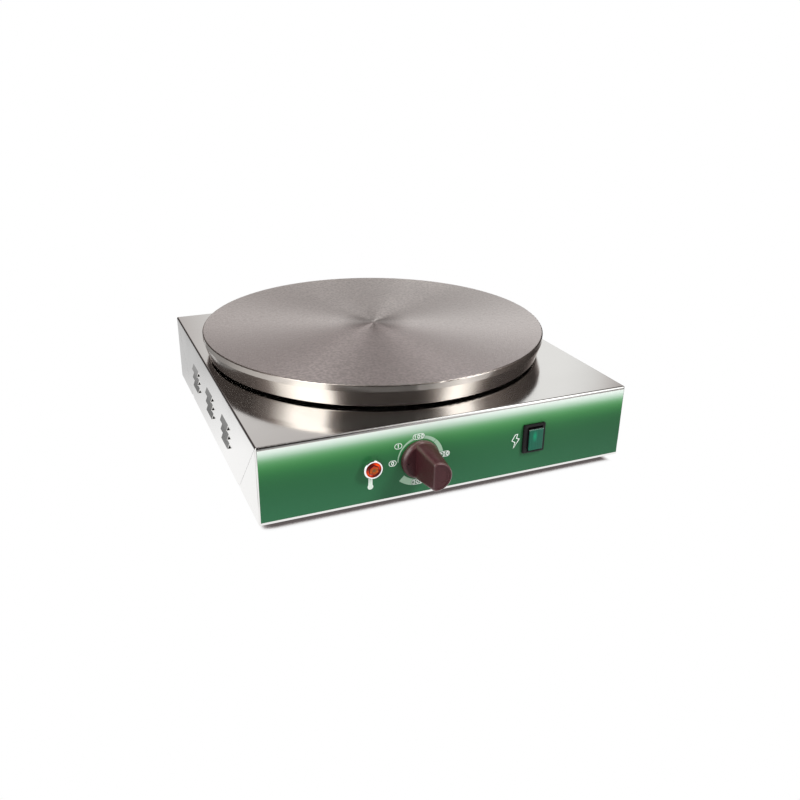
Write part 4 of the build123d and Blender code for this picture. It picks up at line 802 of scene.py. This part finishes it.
def stage_object(name, mesh, finish):
    obj = bpy.data.objects.new(name, mesh)
    bpy.context.scene.collection.objects.link(obj)
    mesh.materials.append(finish)
    return obj


def contact_shadow(g):
    """1 on the open floor and dark where the box is close above it. The floor's normal leans to the
    left and back, so the shadow lies in front and on the right, up to the front right corner."""
    near = g.new("AmbientOcclusion", samples=16)
    near.inputs["Distance"].default_value = SHADOW_REACH
    g.put(near.inputs["Normal"], g.join(*SHADOW_LEAN))
    open_floor = g.span(near.outputs["AO"], 0.34, 0.61, 0.105, 1.0, True)
    x, y, _ = g.split(g.place)
    corner = g.times(g.span(x, *CORNER_X), g.span(y, *CORNER_Y))
    return g.most(open_floor, corner)


def mirrored_floor(g):
    """What shiny surfaces see of the floor: white round the box, dimmer to the rear, then the near
    cards, and further out the tent's own."""
    x, y, _ = g.split(g.place)
    dx = g.most(g.minus(g.math("ABSOLUTE", x), BOX_HALF_W), 0.0)
    dy = g.most(g.minus(g.math("ABSOLUTE", g.minus(y, BOX_Y)), BOX_HALF_D), 0.0)
    away = g.length(dx, dy)
    white = g.span(y, *WHITE_DIMS, 1.02, 0.61)
    fade = g.blend(g.span(y, *WHITE_FRONT_ENDS), g.span(away, *WHITE_IN_FRONT),
                   g.span(dx, *WHITE_BESIDE))
    cards = g.around(NEAR_FLOOR)
    side_cards = g.times(cards, g.span(dx, *SIDE_CARDS, 0.55, 1.0))
    cards = g.blend(g.span(y, *CARD_FRONT_ENDS), cards, side_cards)
    return g.blend(g.span(away, *TENT_CARDS, smooth=True), g.blend(fade, white, cards),
                   g.around(TENT_LOW))


def floor():
    mesh = bpy.data.meshes.new("floor")
    build = bmesh.new()
    bmesh.ops.create_grid(build, x_segments=8, y_segments=8, size=FLOOR_HALF)
    build.to_mesh(mesh)
    build.free()
    g = Glow("floor")
    path = g.new("LightPath").outputs
    glossy = g.most(path["Is Glossy Ray"], path["Is Transmission Ray"])
    open_floor = contact_shadow(g)
    level = g.blend(glossy, 1.0, mirrored_floor(g))
    white = g.new("Emission")
    g.put(white.inputs["Strength"], g.times(level, open_floor))
    g.put(white.inputs["Color"], g.ramp(open_floor, [(0.0, (1.0, 0.84, 0.82, 1)),
                                                     (0.8, (1, 1, 1, 1))]))
    paint = g.new("BsdfDiffuse")
    paint.inputs["Color"].default_value = (0.8, 0.8, 0.8, 1)
    seen = g.most(path["Is Camera Ray"], glossy)
    g.put(g.new("OutputMaterial").inputs[0], g.mix_shaders(seen, paint, white))
    stage_object("floor", mesh, g.mat).location.z = FLOOR_Z


def reflection_tent():
    """The dome that carries the softboxes and black cards."""
    mesh = bpy.data.meshes.new("reflection_tent")
    build = bmesh.new()
    turns = [math.tau * i / TENT_TURNS for i in range(TENT_TURNS)]
    rows = [[build.verts.new((TENT_R * math.cos(up) * math.sin(turn),
                              TENT_R * math.cos(up) * math.cos(turn),
                              TENT_R * math.sin(up))) for turn in turns]
            for up in (TENT_REACH * k / TENT_RINGS for k in range(TENT_RINGS + 1))]
    for low, high in zip(rows, rows[1:]):
        for i in range(TENT_TURNS):
            j = (i + 1) % TENT_TURNS
            build.faces.new((low[i], low[j], high[j], high[i]))
    build.faces.new(rows[-1])
    build.to_mesh(mesh)
    build.free()
    g = Glow("reflection_tent")
    high = g.span(g.split(g.place)[2], TENT_R * math.sin(HIGH_FROM), TENT_R * math.sin(HIGH_TO),
                  smooth=True)
    level = g.blend(high, g.around(TENT_LOW), g.around(TENT_HIGH))
    glow = g.new("Emission")
    g.put(glow.inputs["Strength"], level)
    g.put(glow.inputs["Color"], g.ramp(level, [(0.0, (1.0, 0.84, 0.80, 1)),
                                               (0.8, (1, 1, 0.985, 1))]))
    g.put(g.new("OutputMaterial").inputs[0], glow.outputs[0])
    obj = stage_object("reflection_tent", mesh, g.mat)
    obj.visible_camera = obj.visible_diffuse = obj.visible_shadow = obj.visible_transmission = False


def softbox(name, place, aim_z, size, watts):
    """A square soft lamp aimed at the object. Shiny surfaces see the tent in its place."""
    data = bpy.data.lights.new(name, "AREA")
    data.shape, data.size, data.energy = "SQUARE", size, watts
    obj = bpy.data.objects.new(name, data)
    bpy.context.scene.collection.objects.link(obj)
    obj.location = place
    obj.rotation_euler = (Vector((0, 0, aim_z)) - Vector(place)).to_track_quat("-Z", "Y").to_euler()
    obj.visible_glossy = False


def world():
    """Even light on the object, and white where the camera or a shiny surface looks past it."""
    made = bpy.data.worlds.new("studio")
    made.use_nodes = True
    bpy.context.scene.world = made
    g = Nodes(made.node_tree)
    g.tree.nodes.clear()
    path = g.new("LightPath").outputs
    seen = g.most(g.most(path["Is Camera Ray"], path["Is Glossy Ray"]), path["Is Transmission Ray"])
    dim, white = g.new("Background"), g.new("Background")
    for background, strength in ((dim, WORLD_LIGHT), (white, 1.0)):
        background.inputs["Color"].default_value = (1, 1, 1, 1)
        background.inputs["Strength"].default_value = strength
    g.put(g.new("OutputWorld").inputs[0], g.mix_shaders(seen, dim, white))


world()
floor()
reflection_tent()
for lamp in LAMPS:
    softbox(*lamp)

bpy.context.scene.view_settings.view_transform = "Standard"
